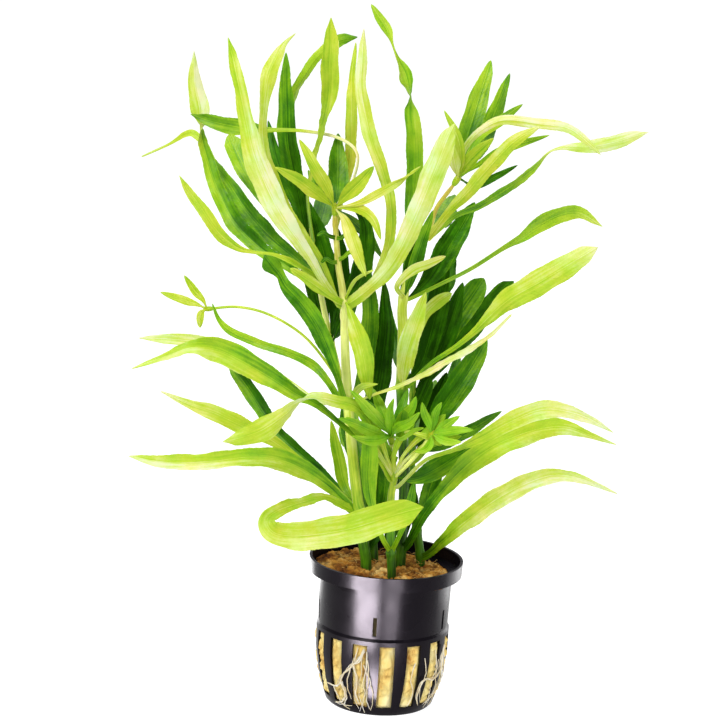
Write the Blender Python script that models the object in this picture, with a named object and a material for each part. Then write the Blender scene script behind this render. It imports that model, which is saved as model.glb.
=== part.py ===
"""A potted pogostemon: leafy aquarium plant stems set in a plug of rockwool in a small net pot.

Metres, +Z up. The origin is the centre of the flat under the pot, and -Y is the side the plant is usually seen
from. The pot is turned and cut. Stems, leaves and roots are lofted along smooth lines. A leaf grows in order, and
each one leans a little nearer or further until it is clear of those before it.
"""

import math
from collections import namedtuple

import bmesh
import bpy
from mathutils import Matrix, Vector
from mathutils.bvhtree import BVHTree

MM = 0.001
GAP = 0.3 * MM

# Pot
POT_HEIGHT = 53 * MM
RIM_RADIUS = 27.5 * MM
COLLAR_HEIGHT = 5 * MM
COLLAR_TAPER = 0.3 * MM
FOOT_RADIUS = 19.4 * MM
FOOT_CHAMFER = 0.8 * MM
WALL = 1.0 * MM
FLOOR = 1.4 * MM
POT_STEPS = 30
# The side from the foot to the collar as (height, outer radius) in mm: the slotted part bellies out to a step
POT_SIDE = [(0.8, 19.4), (3.2, 20.2), (11, 22.4), (20, 23.7), (28.6, 23.8), (29.6, 23.2), (47.2, 23.8)]

# Openings of the pot: tall root slots round the side, short slits above every third rib, slots in the floor
SLOTS = 15
SLOT_PHASE = math.radians(-97.5 + 12)
SLOT_WIDTH = 5.4 * MM
SLOT_LOW = 3.2 * MM
SLOT_HIGH = 27 * MM
SLITS = 5
SLIT_WIDTH = 1.4 * MM
SLIT_LOW = 30.5 * MM
SLIT_HIGH = 37.5 * MM
FLOOR_SLOT_WIDTH = 2.2 * MM
FLOOR_SLOT_IN = 7 * MM
FLOOR_SLOT_OUT = 16.5 * MM

# Rockwool plug
WOOL_TOP = 50 * MM
WOOL_TOP_RADIUS = 25.3 * MM
WOOL_LUMP = 0.45 * MM
WOOL_TILT = 1.4 * MM
WOOL_LOW_SIDE = math.radians(35)
WOOL_BULGE = 1.6 * MM
SOCKET_DEPTH = 6 * MM

# Stems
STEM_SIDES = 7
STEM_STEPS = 16

# The view that the plant's lines are read in: its picture is PICTURE pixels square
PICTURE = 720
FOCUS = 2560
VIEW_DISTANCE = 900 * MM
VIEW_PITCH = math.radians(12)
VIEW_ROLL = math.radians(3)
VIEW_TARGET = Vector((-13.1 * MM, 0, 124.4 * MM))

# Leaves
LEAF_THICK = 0.7 * MM
LEAF_FOLD = 0.22
PETIOLE_WIDTH = 0.9 * MM
LEAF_STATIONS = 10
TWIST_A_STATION = 40
SPREAD = 1.3
LEAFLET_STATIONS = 5
LEAFLET_BELLY = 0.5
LEAST_WIDTH = 0.8
CLEARANCE = 0.5 * MM
SLIDES = [0, 1.2, -1.2, 2.4, -2.4, 3.6, -3.6]
SWINGS = [0] + [side * 2 * step for step in range(1, 14) for side in (1, -1)]

# Colours: upper leaf sides by tone, then the rest
TONES = {
    "dark": (0.045, 0.150, 0.020),
    "green": (0.130, 0.380, 0.020),
    "lime": (0.360, 0.620, 0.030),
    "pale": (0.550, 0.720, 0.200),
}
STEM_COLOUR = (0.450, 0.560, 0.120)
POT_COLOUR = (0.020, 0.018, 0.024)
WOOL_COLOUR = (0.560, 0.380, 0.130)
ROOT_COLOUR = (0.850, 0.820, 0.720)

# A route is a list of (across px, down px, mm nearer than the pot's axis), read in the view above.
Stem = namedtuple("Stem", "name foot_mm tip_mm route")
STEMS = [
    Stem("stem_left", 4.0, 2.2, [(366, 570, 6), (360, 520, 7), (353, 460, 8), (348, 400, 9), (345, 350, 10),
                                 (344, 303, 10), (338, 262, 10), (335, 218, 10)]),
    Stem("stem_right", 3.8, 1.5, [(400, 569, -2), (404, 480, -3), (401, 390, 0), (403, 340, 1), (403, 298, 2),
                                  (414, 265, 2), (428, 235, 3), (435, 211, 3), (452, 187, 4)]),
    Stem("stem_front", 3.2, 2.2, [(391, 586, 14), (391, 553, 14), (391, 500, 14), (394, 478, 15),
                                  (392, 449, 16)]),
    Stem("stem_back_left", 3.0, 1.8, [(374, 560, -8), (362, 480, -12), (340, 380, -18), (322, 300, -22),
                                      (311, 228, -24)]),
    Stem("stem_back_right", 3.2, 1.8, [(420, 563, -8), (412, 490, -9), (412, 430, -12), (414, 370, -16),
                                       (421, 318, -20)]),
]

# Whorl: the stem and the row of the picture where its leaves leave
WHORLS = {
    "left_low": ("stem_left", 508),
    "left_mid": ("stem_left", 401),
    "left_high": ("stem_left", 303),
    "left_under": ("stem_left", 316),
    "left_tip": ("stem_left", 224),
    "right_foot": ("stem_right", 545),
    "right_low": ("stem_right", 470),
    "right_mid": ("stem_right", 386),
    "right_high": ("stem_right", 298),
    "right_node": ("stem_right", 235),
    "right_tip": ("stem_right", 192),
    "front_low": ("stem_front", 553),
    "front_mid": ("stem_front", 478),
    "front_tip": ("stem_front", 455),
    "back_left_foot": ("stem_back_left", 540),
    "back_left_low": ("stem_back_left", 480),
    "back_left_mid": ("stem_back_left", 340),
    "back_left_tip": ("stem_back_left", 240),
    "back_right_wool": ("stem_back_right", 555),
    "back_right_foot": ("stem_back_right", 530),
    "back_right_low": ("stem_back_right", 450),
    "back_right_mid": ("stem_back_right", 395),
    "back_right_tip": ("stem_back_right", 326),
}

# Leaf: its whorl, tone, widest width in mm, share of its length where it is widest, and a route whose fourth
# value turns the blade about its own line: 0 shows the upper side, 90 the edge and 180 the underside. A fifth
# value is the width there in mm, which then stands in for the widest width and its place.
Leaf = namedtuple("Leaf", "name whorl tone width_mm belly route")
LEAVES = [
    Leaf("leaf_tall_pale", "left_high", "pale", 8.4, 0.62,
         [(323, 280, 17, 180, 2.6), (305, 250, 21, 180, 4.2), (284, 220, 24, 180, 7.0), (268, 190, 25, 180, 8.4),
          (254, 155, 26, 180, 7.6), (247, 125, 26, 175, 5.4), (241, 95, 26, 170, 4.3), (234, 62, 24, 165, 3.6),
          (228, 37, 22, 160, 1.2)]),
    Leaf("leaf_tall_second", "left_high", "lime", 5.4, 0.70,
         [(322, 262, 12, 170, 2.0), (290, 215, 13, 170, 3.6), (272, 175, 14, 180, 4.0), (263, 140, 14, 180, 3.2),
          (264, 110, 14, 180, 2.8), (268, 78, 13, 180, 5.4), (277, 56, 11, 160, 4.4), (284, 44, 10, 150, 2.0),
          (296, 33, 8, 150, 0.8)]),
    Leaf("leaf_tall_left", "left_high", "lime", 7.0, 0.60,
         [(318, 285, 3, 0, 1.6), (290, 268, -4, 0, 3.4), (258, 246, -10, 0, 5.6), (234, 221, -16, 0, 6.4),
          (218, 190, -20, 0, 5.6), (207, 158, -23, 10, 4.4), (201, 135, -24, 60, 4.0), (200, 110, -25, 165, 7.0),
          (195, 85, -26, 180, 5.2), (194, 50, -26, 180, 1.0)]),
    Leaf("leaf_arching_left", "left_high", "green", 6.0, 0.55,
         [(322, 284, 2, 0, 1.6), (300, 262, -2, 0, 3.4), (270, 236, -8, 0, 5.8), (245, 208, -14, 0, 6.0),
          (228, 182, -19, 0, 4.4), (212, 162, -26, 10, 3.4), (203, 143, -30, 30, 3.0), (189, 134, -32, 40, 3.4),
          (168, 145, -33, 50, 1.2), (141, 157, -34, 50, 1.2)]),
    Leaf("leaf_left_inner", "left_high", "green", 7.4, 0.58,
         [(326, 275, 8, 0, 1.4), (302, 246, 6, 0, 3.0), (276, 212, 4, 0, 5.0), (254, 182, 0, 0, 6.2),
          (240, 158, -4, 0, 7.4), (229, 134, -8, 0, 5.0)]),
    Leaf("leaf_lime_sickle", "left_high", "lime", 4.2, 0.68,
         [(322, 282, 14, 50, 2.0), (298, 266, 16, 50, 3.2), (275, 255, 18, 30, 1.4), (252, 252, 20, 10, 1.3),
          (236, 247, 21, 0, 2.6), (218, 232, 23, 0, 4.2), (200, 206, 24, 0, 3.8), (188, 190, 25, 0, 2.6),
          (179, 175, 26, 0, 0.8)]),
    Leaf("leaf_wavy_left", "left_mid", "green", 6.6, 0.50,
         [(337, 375, 15, 0, 2.4), (326, 345, 17, 0, 5.4), (315, 322, 18, 0, 6.2), (299, 300, 18, 0, 6.0),
          (286, 286, 17, 0, 4.2), (280, 275, 16, 0, 3.4), (271, 264, 15, 0, 6.4), (264, 255, 14, 0, 3.5)]),
    Leaf("leaf_pale_right", "left_high", "pale", 7.8, 0.55,
         [(372, 286, 17, 180, 4.4), (392, 264, 22, 180, 5.8), (408, 234, 27, 180, 6.6), (423, 200, 31, 180, 7.4),
          (436, 168, 34, 180, 7.8), (447, 140, 36, 175, 5.8), (455, 123, 36, 170, 2.0)]),
    Leaf("leaf_hanging", "left_high", "pale", 6.8, 0.50,
         [(352, 318, 15, 180), (361, 345, 18, 180), (366, 372, 18, 180), (370, 400, 16, 170)]),
    Leaf("leaf_pale_middle", "left_high", "pale", 4.8, 0.52,
         [(366, 291, 8, 160, 2.0), (383, 263, 10, 180, 3.2), (391, 230, 12, 180, 3.6), (390, 200, 13, 180, 3.6),
          (383, 172, 14, 180, 4.0), (374, 148, 14, 180, 4.6), (367, 122, 13, 180, 4.8), (361, 90, 12, 180, 4.0),
          (362, 60, 11, 180, 3.4), (364, 28, 10, 180, 1.0)]),
    Leaf("leaf_crown_tall", "left_tip", "lime", 4.2, 0.55,
         [(342, 198, 3, 180, 1.6), (347, 175, -3, 180, 3.4), (351, 150, -5, 180, 4.0), (351, 120, -6, 180, 4.2),
          (352, 95, -6, 180, 3.6), (352, 75, -7, 170, 2.2), (354, 58, -7, 155, 1.8), (356, 42, -8, 145, 0.9)]),
    Leaf("leaf_dark_tall", "back_left_tip", "dark", 7.0, 0.50,
         [(298, 190, -26, 0), (288, 145, -28, 0), (286, 100, -30, 0), (286, 52, -32, 0)]),
    Leaf("leaf_twisted_top", "back_left_tip", "green", 4.6, 0.72,
         [(302, 190, -34, 0, 3.0), (288, 130, -38, 20, 4.0), (294, 96, -38, 50, 4.2), (305, 74, -37, 20, 3.6),
          (320, 54, -36, 0, 3.6), (338, 41, -35, 0, 4.6), (358, 37, -34, 20, 1.8)]),
    Leaf("leaf_upright_lime", "back_left_tip", "lime", 6.2, 0.68,
         [(308, 195, -20, 120, 2.0), (315, 160, -16, 125, 3.2), (322, 130, -13, 130, 3.2),
          (327, 108, -10, 150, 4.4), (330, 85, -8, 180, 6.2), (330, 60, -6, 180, 6.0), (331, 38, -5, 180, 4.6),
          (331, 17, -4, 180, 1.4)]),
    Leaf("leaf_dark_left", "back_left_tip", "dark", 5.6, 0.50,
         [(296, 200, -34, 0), (278, 165, -44, 0), (268, 120, -52, 0)]),
    Leaf("leaf_dark_inner", "back_left_mid", "dark", 8.0, 0.50,
         [(318, 295, -26, 0), (308, 250, -32, 0), (304, 200, -38, 0)]),
    Leaf("leaf_dark_middle", "back_left_mid", "dark", 7.4, 0.50,
         [(345, 310, -12, 0), (362, 270, -6, 0), (366, 225, -2, 0), (352, 205, 0, 0)]),
    Leaf("leaf_narrow_left", "left_mid", "green", 3.4, 0.60,
         [(328, 382, 10, 0, 2.4), (312, 364, 8, 0, 3.2), (285, 352, 7, 0, 3.0), (255, 342, 5, 0, 3.0),
          (232, 332, 4, 0, 2.8), (219, 320, 3, 20, 1.8), (212, 303, 2, 40, 0.8)]),
    Leaf("leaf_long_left", "front_mid", "lime", 8.6, 0.58,
         [(375, 455, 20, 50, 2.6), (345, 428, 23, 40, 2.4), (318, 406, 25, 20, 2.6), (296, 394, 26, 0, 4.2),
          (268, 376, 28, 0, 7.0), (240, 360, 29, 0, 8.6), (215, 349, 30, 0, 8.4), (190, 348, 31, 20, 4.8),
          (165, 357, 32, 30, 2.8), (131, 369, 32, 30, 0.9)]),
    Leaf("leaf_long_left_back", "left_mid", "lime", 5.2, 0.60,
         [(322, 403, 8, 0, 1.2), (296, 386, 4, 0, 1.3), (262, 362, -2, 0, 1.6), (235, 350, -6, 0, 3.6),
          (205, 343, -10, 0, 5.2), (170, 339, -13, 0, 3.8), (138, 338, -15, 20, 0.9)]),
    Leaf("leaf_dark_low_left", "left_low", "dark", 5.6, 0.50,
         [(335, 485, 0, 0, 2.4), (305, 458, -6, 0, 4.6), (280, 436, -11, 0, 5.0), (262, 410, -16, 0, 5.4),
          (248, 388, -21, 0, 5.6), (230, 365, -27, 0, 4.0)]),
    Leaf("leaf_lime_low_left", "left_low", "lime", 6.2, 0.62,
         [(332, 485, 2, 0, 1.6), (302, 462, 2, 0, 2.4), (268, 438, 0, 0, 4.4), (238, 424, -2, 0, 6.2),
          (212, 412, -3, 10, 5.6), (190, 405, -5, 20, 3.6), (160, 391, -6, 40, 0.9)]),
    Leaf("leaf_longest", "left_low", "lime", 7.6, 0.45,
         [(330, 488, 10, 0, 3.4), (304, 470, 14, 0, 6.4), (280, 460, 17, 0, 7.6), (250, 457, 20, 10, 6.4),
          (215, 461, 23, 15, 6.0), (180, 463, 25, 20, 5.8), (155, 461, 27, 20, 4.2), (128, 456, 28, 20, 1.2)]),
    Leaf("leaf_grey_twisted", "front_tip", "pale", 8.0, 0.70,
         [(362, 412, 24, 10, 4.2), (335, 401, 28, 10, 4.4), (312, 398, 31, 60, 4.4), (297, 404, 32, 120, 4.2),
          (284, 415, 34, 150, 5.4), (262, 430, 34, 180, 8.0), (240, 438, 33, 180, 5.2), (222, 442, 33, 180, 1.0)]),
    Leaf("leaf_folded", "left_low", "lime", 10.6, 0.62,
         [(325, 498, 14, 40, 3.6), (300, 503, 22, 30, 4.4), (277, 511, 30, 15, 5.0), (267, 521, 35, 0, 5.6),
          (275, 533, 40, 0, 7.4), (300, 536, 43, 0, 9.6), (345, 530, 44, 0, 10.6), (385, 518, 43, 0, 10.2),
          (408, 511, 42, 0, 8.4), (424, 507, 41, 0, 2.5)]),
    Leaf("leaf_edge_on", "left_mid", "pale", 5.4, 0.65,
         [(375, 394, 18, 110), (410, 380, 24, 112), (450, 358, 30, 115), (485, 338, 34, 112),
          (512, 314, 36, 105)]),
    Leaf("leaf_broad_right", "right_mid", "pale", 8.6, 0.70,
         [(430, 364, 8, 150, 1.8), (455, 347, 14, 160, 1.9), (475, 331, 18, 175, 2.4), (492, 314, 21, 180, 4.8),
          (510, 299, 24, 180, 7.6), (540, 282, 27, 180, 8.6), (568, 265, 29, 180, 7.6), (588, 253, 30, 180, 5.4),
          (598, 247, 30, 180, 2.6)]),
    Leaf("leaf_stalked_right", "right_high", "green", 5.6, 0.78,
         [(440, 284, 4, 40, 1.6), (470, 269, 0, 40, 1.8), (500, 250, -3, 30, 1.9), (520, 238, -5, 20, 3.2),
          (538, 226, -7, 0, 5.4), (560, 215, -9, 0, 5.6), (580, 213, -11, 0, 4.2), (603, 227, -12, 20, 0.9)]),
    Leaf("leaf_yellow_right", "right_node", "pale", 4.8, 0.50,
         [(446, 215, 10, 180, 2.6), (465, 195, 16, 180, 4.2), (485, 172, 20, 180, 4.8), (505, 150, 24, 180, 4.6),
          (522, 136, 26, 170, 3.4), (540, 127, 28, 160, 1.2)]),
    Leaf("leaf_thin_right", "right_node", "green", 5.2, 0.75,
         [(455, 216, -3, 20, 2.0), (480, 205, -7, 25, 2.8), (508, 188, -11, 25, 3.2), (532, 170, -15, 40, 3.0),
          (548, 153, -18, 80, 2.0), (565, 147, -20, 140, 2.4), (590, 147, -22, 170, 4.6), (615, 142, -24, 180, 5.2),
          (635, 136, -25, 180, 3.6), (649, 132, -26, 180, 0.9)]),
    Leaf("leaf_dark_right_high", "right_high", "dark", 8.6, 0.50,
         [(428, 280, -4, 0), (446, 252, -10, 0), (460, 228, -16, 0), (475, 202, -22, 0)]),
    Leaf("leaf_top_twisted", "right_high", "green", 6.0, 0.50,
         [(408, 250, -6, 0, 3.0), (413, 200, -10, 0, 5.6), (415, 150, -12, 0, 6.0), (412, 118, -12, 0, 5.2),
          (411, 98, -12, 75, 3.6), (406, 76, -11, 180, 5.0), (398, 60, -10, 230, 2.4), (393, 46, -10, 280, 1.2),
          (386, 28, -10, 360, 3.4), (371, 4, -9, 360, 2.6)]),
    Leaf("leaf_pale_centre", "right_mid", "pale", 7.0, 0.50,
         [(404, 365, 6, 180), (410, 340, 9, 180), (418, 315, 11, 180), (426, 292, 12, 180)]),
    Leaf("leaf_dark_right_a", "back_right_mid", "dark", 8.6, 0.55,
         [(428, 368, -16, 0, 2.6), (448, 334, -20, 0, 6.6), (466, 305, -26, 0, 8.6), (476, 290, -29, 0, 7.6),
          (484, 278, -32, 0, 3.4)]),
    Leaf("leaf_dark_right_b", "back_right_mid", "dark", 7.4, 0.60,
         [(436, 372, -26, 0, 2.6), (468, 334, -36, 0, 6.6), (490, 306, -43, 0, 7.4), (503, 291, -47, 0, 6.0),
          (514, 281, -50, 0, 2.2)]),
    Leaf("leaf_dark_right_c", "back_right_low", "dark", 9.4, 0.60,
         [(430, 428, -8, 0), (452, 395, -8, 0), (470, 368, -10, 0), (487, 338, -12, 0)]),
    Leaf("leaf_dark_right_d", "back_right_tip", "dark", 8.6, 0.50,
         [(432, 300, -34, 0), (446, 275, -48, 0), (452, 238, -60, 0)]),
    Leaf("leaf_dark_right_e", "back_right_low", "green", 7.0, 0.50,
         [(425, 430, -24, 0), (445, 400, -40, 0), (460, 352, -58, 0)]),
    Leaf("leaf_dark_centre", "back_left_low", "dark", 8.0, 0.50,
         [(370, 430, -20, 0), (380, 375, -26, 0), (386, 325, -32, 0), (384, 280, -38, 0)]),
    Leaf("leaf_lime_right", "right_foot", "lime", 8.8, 0.58,
         [(412, 536, 4, 20, 3.2), (424, 514, 8, 20, 3.6), (438, 496, 11, 0, 4.2), (455, 477, 14, 0, 5.8),
          (475, 459, 16, 0, 8.0), (500, 443, 18, 0, 8.8), (535, 430, 19, 0, 8.0), (565, 427, 20, 10, 5.4),
          (590, 435, 21, 20, 2.6), (617, 445, 22, 30, 0.8)]),
    Leaf("leaf_lime_right_top", "front_mid", "lime", 6.4, 0.68,
         [(425, 460, 22, 60, 2.4), (455, 449, 27, 50, 2.6), (480, 438, 30, 20, 4.0), (508, 423, 33, 0, 6.0),
          (540, 410, 35, 0, 6.4), (565, 411, 36, 10, 5.0), (590, 419, 36, 20, 3.0), (614, 433, 36, 30, 0.8)]),
    Leaf("leaf_low_right", "back_right_wool", "lime", 7.2, 0.48,
         [(433, 551, -2, 0, 2.8), (446, 538, 4, 0, 4.4), (470, 518, 10, 0, 6.6), (500, 497, 15, 0, 7.2),
          (530, 482, 19, 0, 6.4), (556, 475, 21, 10, 5.0), (585, 480, 23, 30, 3.0), (618, 494, 24, 40, 0.9)]),
    Leaf("leaf_back_low_left", "back_left_low", "green", 9.0, 0.55,
         [(355, 452, -24, 0), (350, 425, -42, 0), (352, 400, -58, 0)]),
    Leaf("leaf_back_low_right", "back_right_low", "green", 9.0, 0.55,
         [(418, 434, -22, 0), (426, 408, -40, 0), (436, 380, -58, 0)]),
    Leaf("leaf_back_high_left", "back_left_tip", "green", 7.5, 0.55,
         [(318, 226, -36, 0), (324, 205, -50, 0), (328, 185, -62, 0)]),
    Leaf("leaf_back_high_right", "right_node", "green", 7.5, 0.55,
         [(440, 222, -12, 0), (448, 208, -28, 0), (455, 195, -44, 0)]),
]

# Small leaves fused to what they grow from. Each is (widest width in mm, route).
STEM_LEAFLETS = {
    "stem_left": [
        ("left_high", 3.6, [(330, 296, 18, 0, 2.2), (312, 283, 24, 0, 3.6), (290, 268, 28, 0, 1.8)]),
        ("left_high", 2.2, [(352, 284, 14, 60), (360, 276, 17, 60), (374, 270, 19, 60)]),
        ("left_mid", 2.6, [(356, 392, 15, 0), (364, 386, 20, 0), (378, 384, 24, 0)]),
        ("left_mid", 6.4, [(360, 380, 2, 0), (368, 345, -2, 0), (370, 300, -4, 0), (364, 256, -6, 0)]),
        ("left_low", 4.6, [(345, 486, 2, 0), (338, 456, 1, 0), (331, 420, 0, 0)]),
    ],
    "stem_right": [
        ("right_mid", 4.4, [(413, 352, 2, 170, 1.2), (424, 318, 1, 180, 3.0), (438, 302, 0, 180, 4.4),
                            (452, 293, 0, 180, 2.6)]),
        ("right_low", 3.4, [(416, 458, 2, 0), (428, 446, 4, 0), (446, 440, 6, 0)]),
        ("right_mid", 8.6, [(420, 366, -6, 0), (433, 325, -9, 0), (441, 287, -12, 0), (446, 254, -14, 0)]),
        ("right_high", 4.6, [(411, 278, 8, 0), (420, 248, 10, 0), (433, 210, 11, 0)]),
        ("right_high", 5.6, [(408, 282, -6, 0), (414, 258, -10, 0), (420, 234, -14, 0)]),
        ("right_high", 3.4, [(397, 286, 10, 0, 1.8), (413, 270, 13, 0, 3.4), (430, 263, 14, 0, 3.0),
                             (446, 256, 14, 0, 1.2)]),
    ],
    "stem_front": [
        ("front_low", 5.8, [(382, 537, 18, 0, 1.8), (373, 508, 20, 0, 2.6), (369, 480, 20, 0, 5.4),
                            (370, 450, 20, 0, 5.8), (368, 428, 19, 0, 2.0)]),
        ("front_low", 4.6, [(401, 532, 19, 0, 1.8), (409, 508, 22, 0, 3.8), (414, 482, 24, 0, 1.2)]),
        ("front_mid", 7.4, [(416, 478, 14, 0), (438, 468, 12, 0), (474, 444, 8, 0)]),
    ],
    "stem_back_left": [
        ("back_left_low", 4.6, [(352, 455, -22, 0), (346, 420, -34, 0), (345, 380, -44, 0)]),
        ("back_left_mid", 5.0, [(338, 332, -30, 0), (352, 302, -42, 0), (358, 264, -52, 0)]),
        ("back_left_mid", 7.4, [(334, 300, -20, 0), (326, 262, -24, 0), (316, 226, -27, 0), (306, 198, -30, 0)]),
        ("back_left_mid", 6.4, [(342, 308, -14, 0), (342, 270, -14, 0), (338, 228, -14, 0)]),
        ("back_left_foot", 6.0, [(372, 520, -6, 0), (376, 480, -8, 0), (380, 430, -10, 0)]),
    ],
    "stem_back_right": [
        ("back_right_low", 4.6, [(436, 448, -14, 0), (470, 430, -22, 0), (502, 411, -28, 0)]),
        ("back_right_mid", 5.0, [(404, 370, -30, 0), (396, 345, -44, 0), (388, 305, -56, 0)]),
        ("back_right_mid", 7.8, [(431, 368, -16, 0), (447, 332, -18, 0), (463, 282, -22, 0)]),
        ("back_right_foot", 6.0, [(424, 514, -5, 0), (431, 486, -8, 0), (447, 450, -10, 0)]),
        ("back_right_low", 6.6, [(424, 430, -14, 0), (434, 405, -15, 0), (447, 372, -16, 0)]),
    ],
}

# Crowns: the young leaves closed round a bud at a stem's tip, as (stem, place of the bud, its radius in mm,
# leaflets). Each leaflet is (widest width in mm, route).
CROWNS = {
    "crown_left": ("stem_left", (335, 208, 10), 1.5, [
        (4.4, [(327, 188, 15, 0), (314, 165, 19, 0), (299, 139, 20, 0)]),
        (4.6, [(320, 196, 15, 0), (298, 180, 20, 0), (275, 167, 24, 0)]),
        (5.2, [(350, 192, 13, 0), (362, 180, 15, 0), (374, 166, 16, 0)]),
        (3.4, [(358, 209, 14, 0), (373, 219, 18, 0), (381, 240, 20, 0)]),
        (3.0, [(362, 202, 15, 0), (392, 186, 20, 0), (421, 166, 24, 180)]),
        (4.8, [(346, 222, 15, 180), (354, 245, 18, 180), (366, 277, 18, 180)]),
        (4.0, [(330, 200, 0, 0), (318, 190, -10, 0), (308, 170, -20, 0)]),
        (3.6, [(350, 219, 2, 0), (368, 236, -6, 0), (383, 259, -12, 0)]),
        (7.4, [(337, 190, 0, 0), (338, 170, -4, 0), (338, 133, -8, 0)]),
        (6.0, [(352, 182, 6, 60, 1.4), (357, 154, 2, 60, 1.5), (338, 138, -4, 50, 1.5), (302, 131, -10, 40, 1.5),
               (268, 130, -13, 20, 2.0), (250, 128, -15, 0, 4.8), (232, 126, -17, 0, 6.0), (210, 121, -20, 0, 4.4),
               (190, 114, -22, 0, 1.0)]),
    ]),
    "crown_right": ("stem_right", (458, 178, 4), 1.5, [
        (3.6, [(464, 150, 8, 180, 2.0), (480, 131, 12, 180, 2.6), (505, 120, 14, 180, 3.4),
               (540, 124, 16, 180, 3.6), (568, 128, 17, 180, 3.2), (586, 141, 18, 180, 2.4),
               (601, 155, 18, 180, 0.9)]),
        (6.2, [(478, 150, -10, 0), (495, 112, -20, 0), (510, 73, -26, 0)]),
        (4.2, [(474, 140, 0, 0), (498, 122, -4, 0), (523, 104, -8, 0)]),
        (3.0, [(478, 165, 6, 0), (508, 148, 8, 0), (550, 135, 8, 0)]),
        (2.6, [(476, 186, 0, 0), (497, 176, -4, 0), (518, 165, -8, 0)]),
        (3.2, [(461, 160, 10, 0), (458, 138, 14, 0), (444, 110, 16, 0)]),
        (3.8, [(455, 165, 12, 180), (452, 150, 16, 180), (448, 132, 18, 180)]),
        (4.4, [(468, 162, 10, 0), (480, 150, 14, 0), (494, 138, 17, 0)]),
        (4.0, [(460, 172, -8, 0), (462, 160, -18, 0), (470, 140, -28, 0)]),
        (7.6, [(462, 155, -2, 0), (474, 115, -6, 0), (491, 60, -12, 0)]),
    ]),
    "crown_front": ("stem_front", (391, 436, 16), 1.6, [
        (4.0, [(378, 420, 22, 0), (364, 404, 26, 0), (350, 390, 28, 0)]),
        (4.0, [(374, 432, 24, 0), (356, 424, 30, 0), (338, 418, 34, 0)]),
        (3.6, [(384, 415, 16, 0), (378, 400, 14, 0), (372, 388, 12, 0)]),
        (4.2, [(402, 420, 20, 0), (412, 408, 22, 0), (416, 396, 22, 0)]),
        (3.6, [(398, 428, 24, 0), (410, 422, 30, 0), (420, 412, 34, 0)]),
        (3.6, [(380, 440, 24, 0), (366, 440, 30, 0), (352, 436, 34, 0)]),
        (3.0, [(402, 438, 22, 60), (414, 430, 27, 50), (424, 428, 30, 40)]),
        (3.2, [(390, 424, 22, 0), (390, 410, 26, 0), (394, 398, 28, 0)]),
        (3.6, [(396, 424, 8, 0), (402, 408, 0, 0), (408, 388, -6, 0)]),
        (3.4, [(384, 424, 8, 0), (376, 412, 2, 0), (366, 400, -4, 0)]),
    ]),
    "crown_side": ("stem_front", (432, 434, 26), 1.4, [
        (3.2, [(442, 428, 29, 0), (450, 422, 31, 0), (460, 416, 32, 0)]),
        (3.2, [(446, 432, 30, 0), (460, 430, 32, 0), (474, 430, 33, 0)]),
        (3.0, [(442, 440, 30, 0), (452, 442, 32, 0), (462, 442, 33, 0)]),
        (3.0, [(434, 422, 27, 0), (436, 412, 28, 0), (442, 402, 28, 0)]),
        (3.0, [(428, 422, 28, 0), (424, 412, 30, 0), (422, 402, 31, 0)]),
        (2.8, [(430, 444, 30, 0), (424, 450, 33, 0), (414, 452, 35, 0)]),
    ]),
    "shoot_left": ("stem_left", (207, 309, -12), 1.2, [
        (3.0, [(196, 304, -13, 0), (180, 299, -14, 0), (160, 292, -15, 0)]),
        (2.8, [(203, 300, -12, 0), (194, 290, -13, 0), (184, 275, -14, 0)]),
        (2.8, [(202, 312, -11, 0), (200, 318, -10, 0), (200, 328, -10, 0)]),
    ]),
}

# Thin shoots that carry a crown away from its stem: whorl and route up to the crown
SHOOTS = {
    "crown_side": ("front_mid", 1.5, [(408, 464, 19), (422, 448, 23)]),
    "shoot_left": ("left_mid", 1.0, [(333, 372, 4), (305, 337, 0), (270, 315, -4), (238, 307, -8)]),
}

# Roots over the pot's side. A strand is a list of (angle round the pot from the front, mm above the table).
ROOT_THICK = 0.9 * MM
ROOT_LIFT = 0.95 * MM
ROOTS = {
    "roots_left": [
        [(-15, 26), (-19, 22), (-26, 18.5), (-34, 15), (-38, 11), (-44, 9.5), (-55, 9.5)],
        [(-24, 19.5), (-20, 14), (-22, 9), (-19, 4.5)],
        [(-36.5, 12), (-33, 7.5), (-38, 4), (-47, 2.6)],
    ],
    "roots_right": [
        [(64, 25), (60, 20), (62, 15.5), (52, 13), (44, 14), (38, 13), (36, 8.5), (39, 4.5)],
        [(61, 18), (68, 12), (60, 6.5), (50, 4)],
    ],
}


def clear_scene():
    for obj in list(bpy.data.objects):
        bpy.data.objects.remove(obj)


def material(name, colour, roughness):
    made = bpy.data.materials.new(name)
    made.use_nodes = True
    shader = made.node_tree.nodes["Principled BSDF"]
    shader.inputs["Base Color"].default_value = (*colour, 1)
    shader.inputs["Roughness"].default_value = roughness
    return made


def mesh_object(name, points, faces, surface, smooth_degrees=None):
    """An object of these points and faces, with its faces turned outwards."""
    mesh = bpy.data.meshes.new(name)
    mesh.from_pydata([tuple(point) for point in points], [], faces)
    shape = bmesh.new()
    shape.from_mesh(mesh)
    bmesh.ops.recalc_face_normals(shape, faces=shape.faces)
    shape.to_mesh(mesh)
    shape.free()
    if smooth_degrees is not None:
        mesh.shade_smooth()
        mesh.set_sharp_from_angle(angle=math.radians(smooth_degrees))
    obj = bpy.data.objects.new(name, mesh)
    bpy.context.scene.collection.objects.link(obj)
    if surface is not None:
        mesh.materials.append(surface)
    return obj


def as_helper(obj):
    """Marks an object that only cuts or joins another."""
    obj.hide_render = True
    obj.display_type = "WIRE"
    return obj


def boolean(obj, operation, helper):
    modifier = obj.modifiers.new(helper.name, "BOOLEAN")
    modifier.operation = operation
    modifier.solver = "MANIFOLD" if operation == "UNION" else "EXACT"
    modifier.object = as_helper(helper)


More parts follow.
